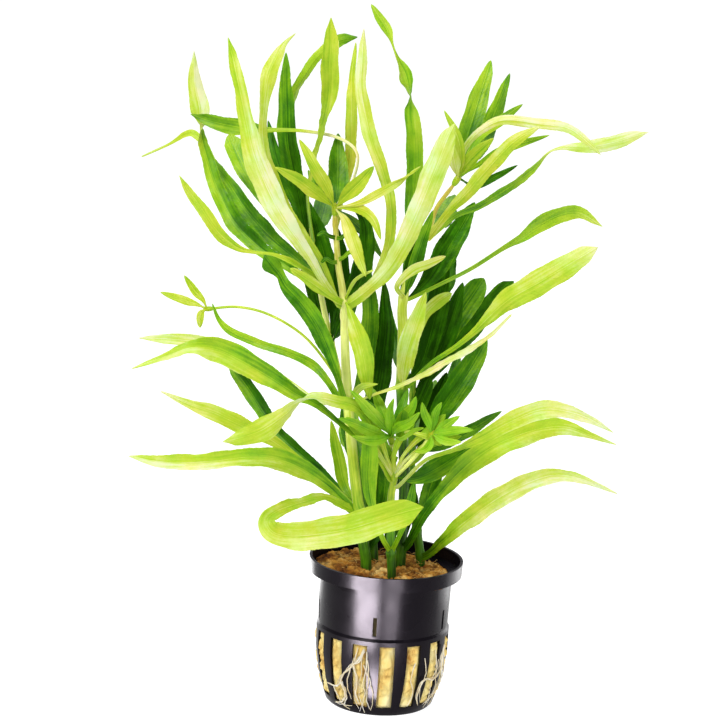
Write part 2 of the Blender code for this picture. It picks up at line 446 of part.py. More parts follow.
def tubes(rings, first=0):
    """Faces that join rings of points of equal size, one after the other, with a flat cap at each end."""
    size = len(rings[0])
    start = [first + size * index for index in range(len(rings))]
    faces = [list(range(start[0], start[0] + size))[::-1], list(range(start[-1], start[-1] + size))]
    for low, high in zip(start, start[1:]):
        faces += [[low + i, low + (i + 1) % size, high + (i + 1) % size, high + i] for i in range(size)]
    return faces


# The view


def view_axes():
    """(right, up, forward) of the view in the row frame."""
    right = Vector((1, 0, 0))
    up = Vector((0, math.sin(VIEW_PITCH), math.cos(VIEW_PITCH)))
    forward = Vector((0, math.cos(VIEW_PITCH), -math.sin(VIEW_PITCH)))
    turned_right = right * math.cos(VIEW_ROLL) + up * math.sin(VIEW_ROLL)
    turned_up = up * math.cos(VIEW_ROLL) - right * math.sin(VIEW_ROLL)
    return turned_right, turned_up, forward


RIGHT, UP, FORWARD = view_axes()
EYE = VIEW_TARGET - FORWARD * VIEW_DISTANCE


def seen(across, down, nearer_mm):
    """The point seen at that pixel, that far in front of the upright plane through the pot's axis."""
    half = PICTURE / 2
    ray = RIGHT * ((across - half) / FOCUS) + UP * ((half - down) / FOCUS) + FORWARD
    return EYE + ray * ((-nearer_mm * MM - EYE.y) / ray.y)


def row_of(point):
    """The row of the picture in which a point is seen."""
    offset = point - EYE
    return PICTURE / 2 - FOCUS * offset.dot(UP) / offset.dot(FORWARD)


# Smooth lines


def smooth_line(points, count):
    """count + 1 points evenly spaced along a smooth curve through points, which are equal-sized lists of
    numbers whose first three are a place."""
    rows = [list(point) for point in points]
    ends = [[2 * a - b for a, b in zip(rows[0], rows[1])], [2 * a - b for a, b in zip(rows[-1], rows[-2])]]
    rows = [ends[0], *rows, ends[1]]
    fine = []
    for a, b, c, d in zip(rows, rows[1:], rows[2:], rows[3:]):
        for step in range(12):
            t = step / 12
            fine.append([
                0.5 * (2 * q + (r - p) * t + (2 * p - 5 * q + 4 * r - s) * t ** 2 + (3 * q - p - 3 * r + s) * t ** 3)
                for p, q, r, s in zip(a, b, c, d)
            ])
    fine.append(rows[-2])
    along = [0.0]
    for low, high in zip(fine, fine[1:]):
        along.append(along[-1] + math.dist(low[:3], high[:3]))
    line, at = [], 0
    for index in range(count + 1):
        wanted = along[-1] * index / count
        while at < len(along) - 2 and along[at + 1] < wanted:
            at += 1
        share = (wanted - along[at]) / max(along[at + 1] - along[at], 1e-12)
        line.append([p + (q - p) * min(share, 1) for p, q in zip(fine[at], fine[at + 1])])
    return line


def directions(points):
    """The direction of travel at each point of a line."""
    found = []
    for index in range(len(points)):
        low, high = points[max(index - 1, 0)], points[min(index + 1, len(points) - 1)]
        found.append((high - low).normalized())
    return found


# Pot and rockwool


def pot_outer_radius(height):
    for (low, inner), (high, outer) in zip(POT_SIDE, POT_SIDE[1:]):
        if height <= high * MM:
            share = max(0, (height / MM - low) / (high - low))
            return (inner + (outer - inner) * share) * MM
    return POT_SIDE[-1][1] * MM


def turned(name, profile, surface):
    """A solid turned about Z from (radius, height) points that run from the axis round to the axis, top down."""
    mesh = bpy.data.meshes.new(name)
    points = [(radius, 0, height) for radius, height in profile]
    mesh.from_pydata(points, [(i, i + 1) for i in range(len(points) - 1)], [])
    obj = bpy.data.objects.new(name, mesh)
    bpy.context.scene.collection.objects.link(obj)
    mesh.materials.append(surface)
    screw = obj.modifiers.new("Turn", "SCREW")
    screw.steps = screw.render_steps = POT_STEPS
    screw.use_merge_vertices = True
    screw.merge_threshold = 0.00001
    screw.use_smooth_shade = True
    return obj


def pot_profile():
    collar_low = POT_HEIGHT - COLLAR_HEIGHT
    side = [(radius * MM, height * MM) for height, radius in POT_SIDE]
    inside = [(radius - WALL, height) for radius, height in side[1:-1]]
    top_radius, top_height = side[-1]
    return [
        (0, FLOOR),
        (FOOT_RADIUS - WALL, FLOOR),
        *inside,
        (top_radius - WALL, top_height + WALL * 0.6),
        (RIM_RADIUS - COLLAR_TAPER - WALL, collar_low + WALL * 0.6),
        (RIM_RADIUS - WALL, POT_HEIGHT),
        (RIM_RADIUS, POT_HEIGHT),
        (RIM_RADIUS - COLLAR_TAPER, collar_low),
        *side[::-1],
        (FOOT_RADIUS - FOOT_CHAMFER, 0),
        (0, 0),
    ]


def block(angle, inner, outer, half_width, low, high):
    """Corners of a block that lies along the ray at that angle."""
    ahead = Vector((math.cos(angle), math.sin(angle), 0))
    aside = Vector((-math.sin(angle), math.cos(angle), 0)) * half_width
    return [
        ahead * reach + aside * side + Vector((0, 0, height))
        for height in (low, high)
        for reach, side in ((inner, -1), (outer, -1), (outer, 1), (inner, 1))
    ]


def pot_cutter():
    """Every opening of the pot as one set of blocks."""
    points, faces = [], []
    middle = RIM_RADIUS / 2
    outside = RIM_RADIUS + WALL
    for index in range(SLOTS):
        angle = SLOT_PHASE + math.tau * index / SLOTS
        floor_slot = block(angle, FLOOR_SLOT_IN, FLOOR_SLOT_OUT, FLOOR_SLOT_WIDTH / 2, -WALL, FLOOR + WALL)
        for corners in (block(angle, middle, outside, SLOT_WIDTH / 2, SLOT_LOW, SLOT_HIGH), floor_slot):
            faces += tubes([corners[:4], corners[4:]], len(points))
            points += corners
    for index in range(SLITS):
        angle = SLOT_PHASE + math.tau * (index / SLITS - 0.5 / SLOTS)
        corners = block(angle, middle, outside, SLIT_WIDTH / 2, SLIT_LOW, SLIT_HIGH)
        faces += tubes([corners[:4], corners[4:]], len(points))
        points += corners
    return mesh_object("pot_openings", points, faces, None)


def make_pot(surface):
    pot = turned("net_pot", pot_profile(), surface)
    boolean(pot, "DIFFERENCE", pot_cutter())
    return pot


def wool_radius(angle, height, bulges):
    """The plug fills the pot and swells a little through the slots."""
    radius = pot_outer_radius(height) - WALL - GAP
    if not bulges:
        return radius
    slot = (angle - SLOT_PHASE) * SLOTS / math.tau
    off_centre = abs(slot - round(slot)) * math.tau / SLOTS * radius
    free = SLOT_WIDTH / 2 - 3 * GAP
    return radius + WOOL_BULGE * max(0, 1 - (off_centre / free) ** 2)


def wool_top(angle, share):
    """Height of the plug's lumpy top, at that share of its radius. The plug leans down to the right and the
    back."""
    lump = math.sin(3 * angle + 0.6) * 0.6 + math.sin(5 * angle + 2) * 0.4
    return WOOL_TOP + (WOOL_LUMP * lump - WOOL_TILT * math.cos(angle - WOOL_LOW_SIDE)) * share


def ring_point(angle, radius, height):
    return Vector((radius * math.cos(angle), radius * math.sin(angle), height))


def make_wool(surface, stems):
    around = SLOTS * 4
    angles = [SLOT_PHASE + math.tau * index / around for index in range(around)]
    sides = [(FLOOR + GAP, False), (SLOT_LOW + GAP, False), (SLOT_LOW + 1.4 * MM, True), (12 * MM, True),
             (SLOT_HIGH - 1.4 * MM, True), (SLOT_HIGH - GAP, False), (29.6 * MM, False), (46 * MM, False)]
    rings = [[ring_point(angle, wool_radius(angle, height, bulges), height) for angle in angles]
             for height, bulges in sides]
    narrow = wool_radius(0, 46 * MM, False)
    brim, edge = [], []
    for angle in angles:
        height = wool_top(angle, 1) - 0.4 * MM
        over_shoulder = min(1, max(0, (height - 48.4 * MM) / MM))
        brim.append(ring_point(angle, narrow, min(48.3 * MM, height - 0.5 * MM)))
        edge.append(ring_point(angle, narrow + (WOOL_TOP_RADIUS - narrow) * over_shoulder, height))
    middle = [ring_point(angle, WOOL_TOP_RADIUS * 0.5, wool_top(angle, 0.5)) for angle in angles]
    rings += [brim, edge, middle]
    points = [point for ring in rings for point in ring]
    wool = mesh_object("rockwool_plug", points, tubes(rings), surface, 60)
    sockets, faces = [], []
    for line, radii in stems:
        buried = next(index for index, point in enumerate(line) if point.z > WOOL_TOP + 1.5 * MM) + 1
        rings = stem_rings(line[:buried], [radii[0] + GAP] * buried)
        faces += tubes(rings, len(sockets))
        sockets += [point for ring in rings for point in ring]
    boolean(wool, "DIFFERENCE", mesh_object("stem_sockets", sockets, faces, None))
    return wool


# Stems


def stem_rings(line, radii, sides=STEM_SIDES):
    rings = []
    for centre, ahead, radius in zip(line, directions(line), radii):
        side = ahead.cross(Vector((0, 1, 0))).normalized()
        front = side.cross(ahead)
        rings.append([
            centre + (side * math.cos(turn) + front * math.sin(turn)) * radius
            for turn in (math.tau * index / sides for index in range(sides))
        ])
    return rings


def stem_line(stem):
    """(points, radii) of a stem, from its foot in the rockwool to its tip. The foot goes straight down."""
    places = [seen(*point) for point in stem.route]
    foot = places[0]
    places = [Vector((foot.x, foot.y, WOOL_TOP - SOCKET_DEPTH)), Vector((foot.x, foot.y, WOOL_TOP + 1.5 * MM)),
              *places[1:]]
    line = [Vector(row) for row in smooth_line(places, STEM_STEPS)]
    steps = len(line) - 1
    radii = [0.5 * MM * (stem.foot_mm + (stem.tip_mm - stem.foot_mm) * (index / steps) ** 2.2)
             for index in range(len(line))]
    return line, radii


def point_on_stem(line, radii, row, slide_mm=0):
    """(place, direction, radius) on a stem at that row of the picture, slid along it."""
    along = min(range(len(line)), key=lambda index: abs(row_of(line[index]) - row))
    other = along + 1 if row_of(line[along]) > row else along - 1
    other = min(max(other, 0), len(line) - 1)
    low, high = row_of(line[along]), row_of(line[other])
    share = 0 if other == along else (row - low) / (high - low)
    ahead = directions(line)[along]
    return line[along].lerp(line[other], share) + ahead * slide_mm * MM, ahead, radii[along]


# Blades


def half_width(share, widest, belly):
    """Half the width of a leaf at that share of its length: a narrow stalk, a long belly and a blunt tip."""
    if share < belly:
        blade = math.sin(math.pi / 2 * share / belly) ** 1.4 * widest
    else:
        blade = math.sin(math.pi / 2 * (1 - share) / (1 - belly)) ** 0.65 * widest
    stalk = PETIOLE_WIDTH * (1 - share) ** 2
    return max(blade, stalk) / 2


def sides_of(line):
    """(direction, side, face) of a blade at each (x, y, z, turn) of its line. With no turn its face looks at the
    viewer. A side never flips from one point to the next, so a blade that doubles back folds."""
    points = [Vector(row[:3]) for row in line]
    found, last = [], None
    for point, ahead, row in zip(points, directions(points), line):
        side = ahead.cross((EYE - point).normalized())
        if last is not None:
            carried = (last - ahead * last.dot(ahead)).normalized()
            side = side if side.dot(carried) > 0 else -side
            sure = min(1.0, side.length / 0.5)
            side = carried.lerp(side.normalized(), sure)
        side = (side - ahead * side.dot(ahead)).normalized()
        last = side
        turned_side = Matrix.Rotation(math.radians(row[3]), 3, ahead) @ side
        found.append((point, ahead, turned_side, turned_side.cross(ahead)))
    return found


def blade(line, widest, belly, extra=0.0):
    """(points, faces) of a thin blade with a raised rim either side of its midrib. Its four sides are split into
    triangles so that the upper and the lower side fold along the same diagonals, and a twist leaves them apart."""
    points = []
    steps = len(line) - 1
    for index, (centre, _, side, face) in enumerate(sides_of(line)[:-1]):
        spare = extra * min(1, index)
        given = line[index][4:]
        half = max(*given, LEAST_WIDTH) * MM / 2 if given else half_width(index / steps, widest, belly)
        half += spare
        thick = LEAF_THICK * (0.75 + 0.25 * min(1, 4 * index / steps)) / 2 + spare
        lift = face * (half * LEAF_FOLD)
        points += [centre - side * half + lift, centre + face * thick, centre + side * half + lift,
                   centre - face * thick]
    faces = [[3, 2, 1, 0]]
    for low in range(0, 4 * (steps - 1), 4):
        for side in range(4):
            after = (side + 1) % 4
            a, b, c, d = low + side, low + after, low + 4 + after, low + 4 + side
            faces += [[a, b, c], [a, c, d]] if side < 2 else [[a, b, d], [b, c, d]]
    tip = len(points)
    points.append(Vector(line[-1][:3]))
    faces += [[tip - 4 + i, tip - 4 + (i + 1) % 4, tip] for i in range(4)]
    return points, faces


def leaf_line(root, route, swing_mm, count):
    """The line of a leaf from its root through its route. The swing grows along it, nearer or further. A leaf
    that twists has more points in its line."""
    root_nearer = -root.y / MM
    rows = []
    for index, (across, down, nearer, *form) in enumerate(route, 1):
        spread = root_nearer + (nearer - root_nearer) * SPREAD + swing_mm * index / len(route)
        rows.append([*seen(across, down, spread), *form])
    twist = sum(abs(high[3] - low[3]) for low, high in zip(route, route[1:]))
    first = [*root, route[0][3], PETIOLE_WIDTH / MM][:len(rows[0])]
    return smooth_line([first, *rows], count + round(twist / TWIST_A_STATION))


def root_on(stem, row, slide_mm, toward):
    """Where a leaf leaves its stem: on the side that faces its first point."""
    centre, ahead, radius = point_on_stem(*stem, row, slide_mm)
    away = toward - centre
    away = (away - ahead * away.dot(ahead)).normalized()
    return centre + away * (radius + 2 * GAP)


def tree_of(points, faces):
    return BVHTree.FromPolygons([tuple(point) for point in points], faces)


def settle(label, roots, route, widest, belly, count, others):
    """The (points, faces) of a leaf that leans as little as it can to be clear of every tree of the others.
    roots has a starting place for each slide."""
    tries = sorted(((slide, swing) for slide in roots for swing in SWINGS),
                   key=lambda pair: 2 * abs(pair[0]) + abs(pair[1]))
    blocked = []
    for slide, swing in tries:
        line = leaf_line(roots[slide], route, swing, count)
        grown = tree_of(*blade(line, widest, belly, CLEARANCE))
        hits = [name for name, trees in others.items() if any(grown.overlap(tree) for tree in trees)]
        if not hits:
            return blade(line, widest, belly)
        blocked.append(hits)
    raise ValueError(f"{label} finds no room: {min(blocked, key=len)}")


def grow_leaf(leaf, stems, trees):
    """A large leaf, which may leave its stem a little higher or lower than its whorl."""
    stem_name, row = WHORLS[leaf.whorl]
    toward = seen(*leaf.route[0][:3])
    roots = {slide: root_on(stems[stem_name], row, slide, toward) for slide in SLIDES}
    return settle(leaf.name, roots, leaf.route, leaf.width_mm * MM, leaf.belly, LEAF_STATIONS, trees)


def grow_leaflets(owner, leaflets, trees):
    """The small leaves of one owner, given as (root, width in mm, route). They may touch each other and it."""
    others = {name: found for name, found in trees.items() if name != owner}
    parts = []
    for index, (root, width, route) in enumerate(leaflets):
        count = max(LEAFLET_STATIONS, 2 * len(route) - 1)
        parts.append(settle(f"{owner} leaflet {index}", {0: root}, route, width * MM, LEAFLET_BELLY, count,
                            others))
    trees[owner] += [tree_of(*part) for part in parts]
    return parts


def tube(line, radii, sides=STEM_SIDES):
    rings = stem_rings(line, radii, sides)
    return [point for ring in rings for point in ring], tubes(rings)


def fuse(obj, parts, surface):
    """Joins each of the parts, (points, faces), to the object."""
    for index, part in enumerate(parts):
        boolean(obj, "UNION", mesh_object(f"{obj.name}_part_{index}", *part, surface))


def crown_core(name, stems):
    """(points, faces) of the bud in a crown, on its stem's tip or at the end of a thin shoot."""
    stem_name, place, bud_mm, _ = CROWNS[name]
    bud = bud_mm * MM
    heart = seen(*place)
    if name in SHOOTS:
        whorl, thick, route = SHOOTS[name]
        places = [seen(*point) for point in route]
        start = root_on(stems[stem_name], WHORLS[whorl][1], 0, places[0])
        line = [Vector(row) for row in smooth_line([start, *places, heart], 8)]
        radii = [thick * MM / 2] * len(line)
    else:
        line_below, radii_below = stems[stem_name]
        ahead = (heart - line_below[-1]).normalized()
        line = [line_below[-1] + ahead * GAP, (line_below[-1] + heart) / 2, heart]
        radii = [radii_below[-1]] * 3
    ahead = (heart - line[-2]).normalized()
    line = [*line[:-1], heart - ahead * bud, heart, heart + ahead * bud]
    return tube(line, [*radii[:-1], bud * 0.9, bud, bud * 0.5])


# Roots


def root_place(degrees, height_mm):
    angle = math.radians(degrees - 90)
    radius = pot_outer_radius(height_mm * MM) + ROOT_LIFT
    return Vector((radius * math.cos(angle), radius * math.sin(angle), height_mm * MM))


def make_roots(name, strands, surface):
    parts = []
    for strand in strands:
        line = [Vector(row) for row in smooth_line([root_place(*point) for point in strand], 2 * len(strand))]
        parts.append(tube(line, [ROOT_THICK / 2] * len(line), 4))
    obj = mesh_object(name, *parts[0], surface, 60)
    fuse(obj, parts[1:], surface)
    return obj


def main():
    clear_scene()
    tones = {tone: material("leaf_" + tone, colour, 0.45) for tone, colour in TONES.items()}
    stem_surface = material("stem", STEM_COLOUR, 0.45)
    root_surface = material("root", ROOT_COLOUR, 0.6)
    stems = {stem.name: stem_line(stem) for stem in STEMS}

    solids = [make_pot(material("pot", POT_COLOUR, 0.35))]
    solids.append(make_wool(material("rockwool", WOOL_COLOUR, 0.95), stems.values()))
    solids += [make_roots(name, strands, root_surface) for name, strands in ROOTS.items()]
    bpy.context.view_layer.update()
    graph = bpy.context.evaluated_depsgraph_get()
    trees = {obj.name: [BVHTree.FromObject(obj, graph)] for obj in solids}

    cores = {name: tube(*stems[name]) for name in stems}
    cores.update({name: crown_core(name, stems) for name in CROWNS})
    for name, core in cores.items():
        trees[name] = [tree_of(*core)]
    leaflets = {
        name: grow_leaflets(name, [(seen(*place), width, route) for width, route in young], trees)
        for name, (_, place, _, young) in CROWNS.items()
    }
    for leaf in LEAVES:
        points, faces = grow_leaf(leaf, stems, trees)
        mesh_object(leaf.name, points, faces, tones[leaf.tone], 40)
        trees[leaf.name] = [tree_of(points, faces)]
    for name, small in STEM_LEAFLETS.items():
        rooted = [(point_on_stem(*stems[name], WHORLS[whorl][1])[0], width, route) for whorl, width, route in small]
        leaflets[name] = grow_leaflets(name, rooted, trees)
    for name, core in cores.items():
        surface = stem_surface if name in stems else tones["lime"]
        fuse(mesh_object(name, *core, surface, 60), leaflets[name], surface)


main()
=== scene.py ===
"""The looks of a potted pogostemon: fine leaves, stems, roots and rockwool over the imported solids.

Metres, +Z up, in the frame of the part. Every leaf follows the line of its solid, read in one view. A route
is a list of (across px, down px, mm nearer than the pot's axis, width in mm, turn in degrees). The width and
the turn are 0 where they are left out. A route of widths 0 stands for the leaf's own widest width, which
narrows to both ends. A turn of 0 shows the upper side, 90 the edge and 180 the underside. Tones here are in
percent.
"""

import math
from collections import namedtuple

import bpy
import numpy as np
from mathutils import Matrix, Vector, noise


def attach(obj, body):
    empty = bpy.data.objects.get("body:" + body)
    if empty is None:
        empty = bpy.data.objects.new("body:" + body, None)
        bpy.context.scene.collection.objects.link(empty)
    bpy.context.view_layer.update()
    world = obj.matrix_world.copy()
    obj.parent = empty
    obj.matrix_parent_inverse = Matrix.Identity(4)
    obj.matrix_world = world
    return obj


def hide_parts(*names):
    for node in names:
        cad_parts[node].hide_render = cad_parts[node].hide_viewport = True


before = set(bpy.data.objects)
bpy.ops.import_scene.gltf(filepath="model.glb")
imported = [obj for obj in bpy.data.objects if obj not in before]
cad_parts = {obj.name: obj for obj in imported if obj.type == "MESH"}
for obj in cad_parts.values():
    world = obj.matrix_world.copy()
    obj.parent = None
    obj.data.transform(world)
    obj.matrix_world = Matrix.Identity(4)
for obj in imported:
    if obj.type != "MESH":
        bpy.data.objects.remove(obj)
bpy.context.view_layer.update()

MM = 0.001
GAP = 0.3 * MM

# Pot
POT_HEIGHT = 53 * MM
RIM_RADIUS = 27.5 * MM
COLLAR_HEIGHT = 5 * MM
COLLAR_TAPER = 0.3 * MM
# The side from the foot to the collar as (height, outer radius) in mm: the slotted part bellies out to a step
POT_SIDE = [(0.8, 19.4), (3.2, 20.2), (11, 22.4), (20, 23.7), (28.6, 23.8), (29.6, 23.2), (47.2, 23.8)]
FOOT_RADIUS = 19.4 * MM
FOOT_CHAMFER = 0.8 * MM
WALL = 1.0 * MM
FLOOR = 1.4 * MM
SLOTS = 15
SLOT_PHASE = math.radians(-97.5 + 12)
SLOT_WIDTH = 5.4 * MM
SLOT_LOW = 3.2 * MM
SLOT_HIGH = 27 * MM
SLOT_ROWS = [7 * MM, 11 * MM, 15.5 * MM, 20 * MM]
STEP_LOW = 28.6 * MM
STEP_HIGH = 29.6 * MM
SLIT_EVERY = 3
SLIT_FIRST = 2
SLIT_WIDTH = 1.4 * MM
SLIT_LOW = 30.5 * MM
SLIT_HIGH = 37.5 * MM
BAND_ROW = 42 * MM
FLOOR_DISC = 3 * MM
FLOOR_SLOT_WIDTH = 2.2 * MM
FLOOR_SLOT_IN = 7 * MM
FLOOR_SLOT_MIDDLE = 12 * MM
FLOOR_SLOT_OUT = 16.5 * MM
EDGE_BEVEL = 0.18 * MM
SHARP_EDGE = math.radians(35)

# Rockwool plug. Its top slopes, lowest towards WOOL_LOW_SIDE.
WOOL_TOP = 50 * MM
WOOL_SHOULDER = 48.6 * MM
WOOL_SIDE_TOP = 46.6 * MM
WOOL_RADIUS = 25.7 * MM
WOOL_NARROW = 22.5 * MM
WOOL_BULGE = 1.6 * MM
WOOL_TILT = 1.4 * MM
WOOL_LOW_SIDE = math.radians(35)
WOOL_AROUND = 360
WOOL_RINGS = 46
WOOL_LUMP = 4.2 * MM
WOOL_GRIT = 1.6 * MM
WOOL_STAIN = 6 * MM
WOOL_FIBRES = 150
WOOL_SEED = 11
WOOL_SIDE_ROWS = 44
WOOL_BAND_ROWS = 8
WOOL_BAND_LOW = 29 * MM
FIBRES_ON_TOP = 0.72
SOCKET_DEPTH = 6 * MM

# The view that the plant's lines are read in: its picture is PICTURE pixels square
PICTURE = 720
FOCUS = 2560
VIEW_DISTANCE = 900 * MM
VIEW_PITCH = math.radians(12)
VIEW_ROLL = math.radians(3)
VIEW_TARGET = Vector((-13.1 * MM, 0, 124.4 * MM))
SENSOR_MM = 36

# Leaves
LEAF_FOLD = 0.22
PETIOLE_WIDTH = 0.9 * MM
STALK_WIDTH_MM = 1.6
LEAST_WIDTH_MM = 0.8
LEAF_STEP = 0.75 * MM
LEAST_STEPS = 20
MOST_STEPS = 170
LEAF_COLUMNS = 12
LEAFLET_COLUMNS = 10
TIP_SHARE = 0.05
BLADE_HALF = 0.10
STALK_OVER = 0.33
STALK_UNDER = 0.36
RIB_WIDTH = 0.42 * MM
RIB_GROOVE = 0.05
RIB_BACK = 0.34
# The margin swells and has teeth, and the blade sways
SWELL = 0.03
SWELL_EVERY = 11 * MM
TOOTH = 1.7 * MM
TOOTH_SPREAD = 0.6 * MM
TOOTH_DEPTH = 0.09 * MM
TOOTH_DRIFT = 9 * MM
TOOTH_FADE = 5 * MM
SWAY = 0.16 * MM
SWAY_EVERY = 17 * MM
RIPPLE_MM = 8
SHORT_RIPPLE = 4.3 * MM
# How much paler a blade's underside is, and how far inside its owner a small leaf starts
UNDERSIDE = 0.07
INSIDE = 0.15
# How the routes were spread in depth, and the slides and swings in mm that kept the solids apart
SPREAD = 1.3
SLIDES = [0, 1.2, -1.2, 2.4, -2.4, 3.6, -3.6]
SWINGS = [0] + [side * 2 * step for step in range(1, 14) for side in (1, -1)]
LEAFLET_SEED = 60
CROWN_SEED = 100
YOUNG_SEED = 300

# Stems, with a route of (across px, down px, mm nearer than the pot's axis)
STEM_STEPS = 16
FINE_STEM_STEPS = 110
NODE_SWELL = 0.22
NODE_REACH_MM = 1.3
Stem = namedtuple("Stem", "name foot_mm tip_mm route")
STEMS = [
    Stem("stem_left", 4.0, 2.2, [
        (366, 570, 6), (360, 520, 7), (353, 460, 8), (348, 400, 9), (345, 350, 10), (344, 303, 10),
        (338, 262, 10), (335, 218, 10),
    ]),
    Stem("stem_right", 3.8, 1.5, [
        (400, 569, -2), (404, 480, -3), (401, 390, 0), (403, 340, 1), (403, 298, 2), (414, 265, 2),
        (428, 235, 3), (435, 211, 3), (452, 187, 4),
    ]),
    Stem("stem_front", 3.2, 2.2, [
        (391, 586, 14), (391, 553, 14), (391, 500, 14), (394, 478, 15), (392, 449, 16),
    ]),
    Stem("stem_back_left", 3.0, 1.8, [
        (374, 560, -8), (362, 480, -12), (340, 380, -18), (322, 300, -22), (311, 228, -24),
    ]),
    Stem("stem_back_right", 3.2, 1.8, [
        (420, 563, -8), (412, 490, -9), (412, 430, -12), (414, 370, -16), (421, 318, -20),
    ]),
]
# Tones of the stems and of the crowns' shoots from the foot to the tip: 0 dark green, 20 green, 40 yellow
# green, 60 cream, 80 golden and 100 a pinkish brown
STEM_TONES = {
    "stem_left": [2, 10, 32, 41, 50, 58, 64, 74, 80],
    "stem_right": [3, 4, 5, 6, 12, 38, 43, 44, 72, 90],
    "stem_front": [0, 2, 18, 30, 36, 42],
    "stem_back_left": [5, 10, 20, 45, 60, 80],
    "stem_back_right": [8, 15, 20, 30, 50],
    "crown_left": [80, 72],
    "crown_right": [86, 76],
    "crown_front": [45, 45],
    "crown_side": [50, 50],
    "shoot_left": [40, 34],
}
# Where along a stem it is thicker, as (share of its length, how much)
THICKER = {"stem_right": (0.64, 0.32)}
# How yellow the young leaves of each are
WARMTH = {"crown_left": 0.4, "crown_right": 0.2, "crown_front": -0.9, "crown_side": -0.7, "stem_right": 0.2,
          "shoot_left": 0.4}

# Whorl: the stem and the row of the picture where its leaves leave
WHORLS = {
    "left_low": ("stem_left", 508),
    "left_mid": ("stem_left", 401),
    "left_high": ("stem_left", 303),
    "left_under": ("stem_left", 316),
    "left_tip": ("stem_left", 224),
    "right_foot": ("stem_right", 545),
    "right_low": ("stem_right", 470),
    "right_mid": ("stem_right", 386),
    "right_high": ("stem_right", 298),
    "right_node": ("stem_right", 235),
    "right_tip": ("stem_right", 192),
    "front_low": ("stem_front", 553),
    "front_mid": ("stem_front", 478),
    "front_tip": ("stem_front", 455),
    "back_left_foot": ("stem_back_left", 540),
    "back_left_low": ("stem_back_left", 480),
    "back_left_mid": ("stem_back_left", 340),
    "back_left_tip": ("stem_back_left", 240),
    "back_right_wool": ("stem_back_right", 555),
    "back_right_foot": ("stem_back_right", 530),
    "back_right_low": ("stem_back_right", 450),
    "back_right_mid": ("stem_back_right", 395),
    "back_right_tip": ("stem_back_right", 326),
}

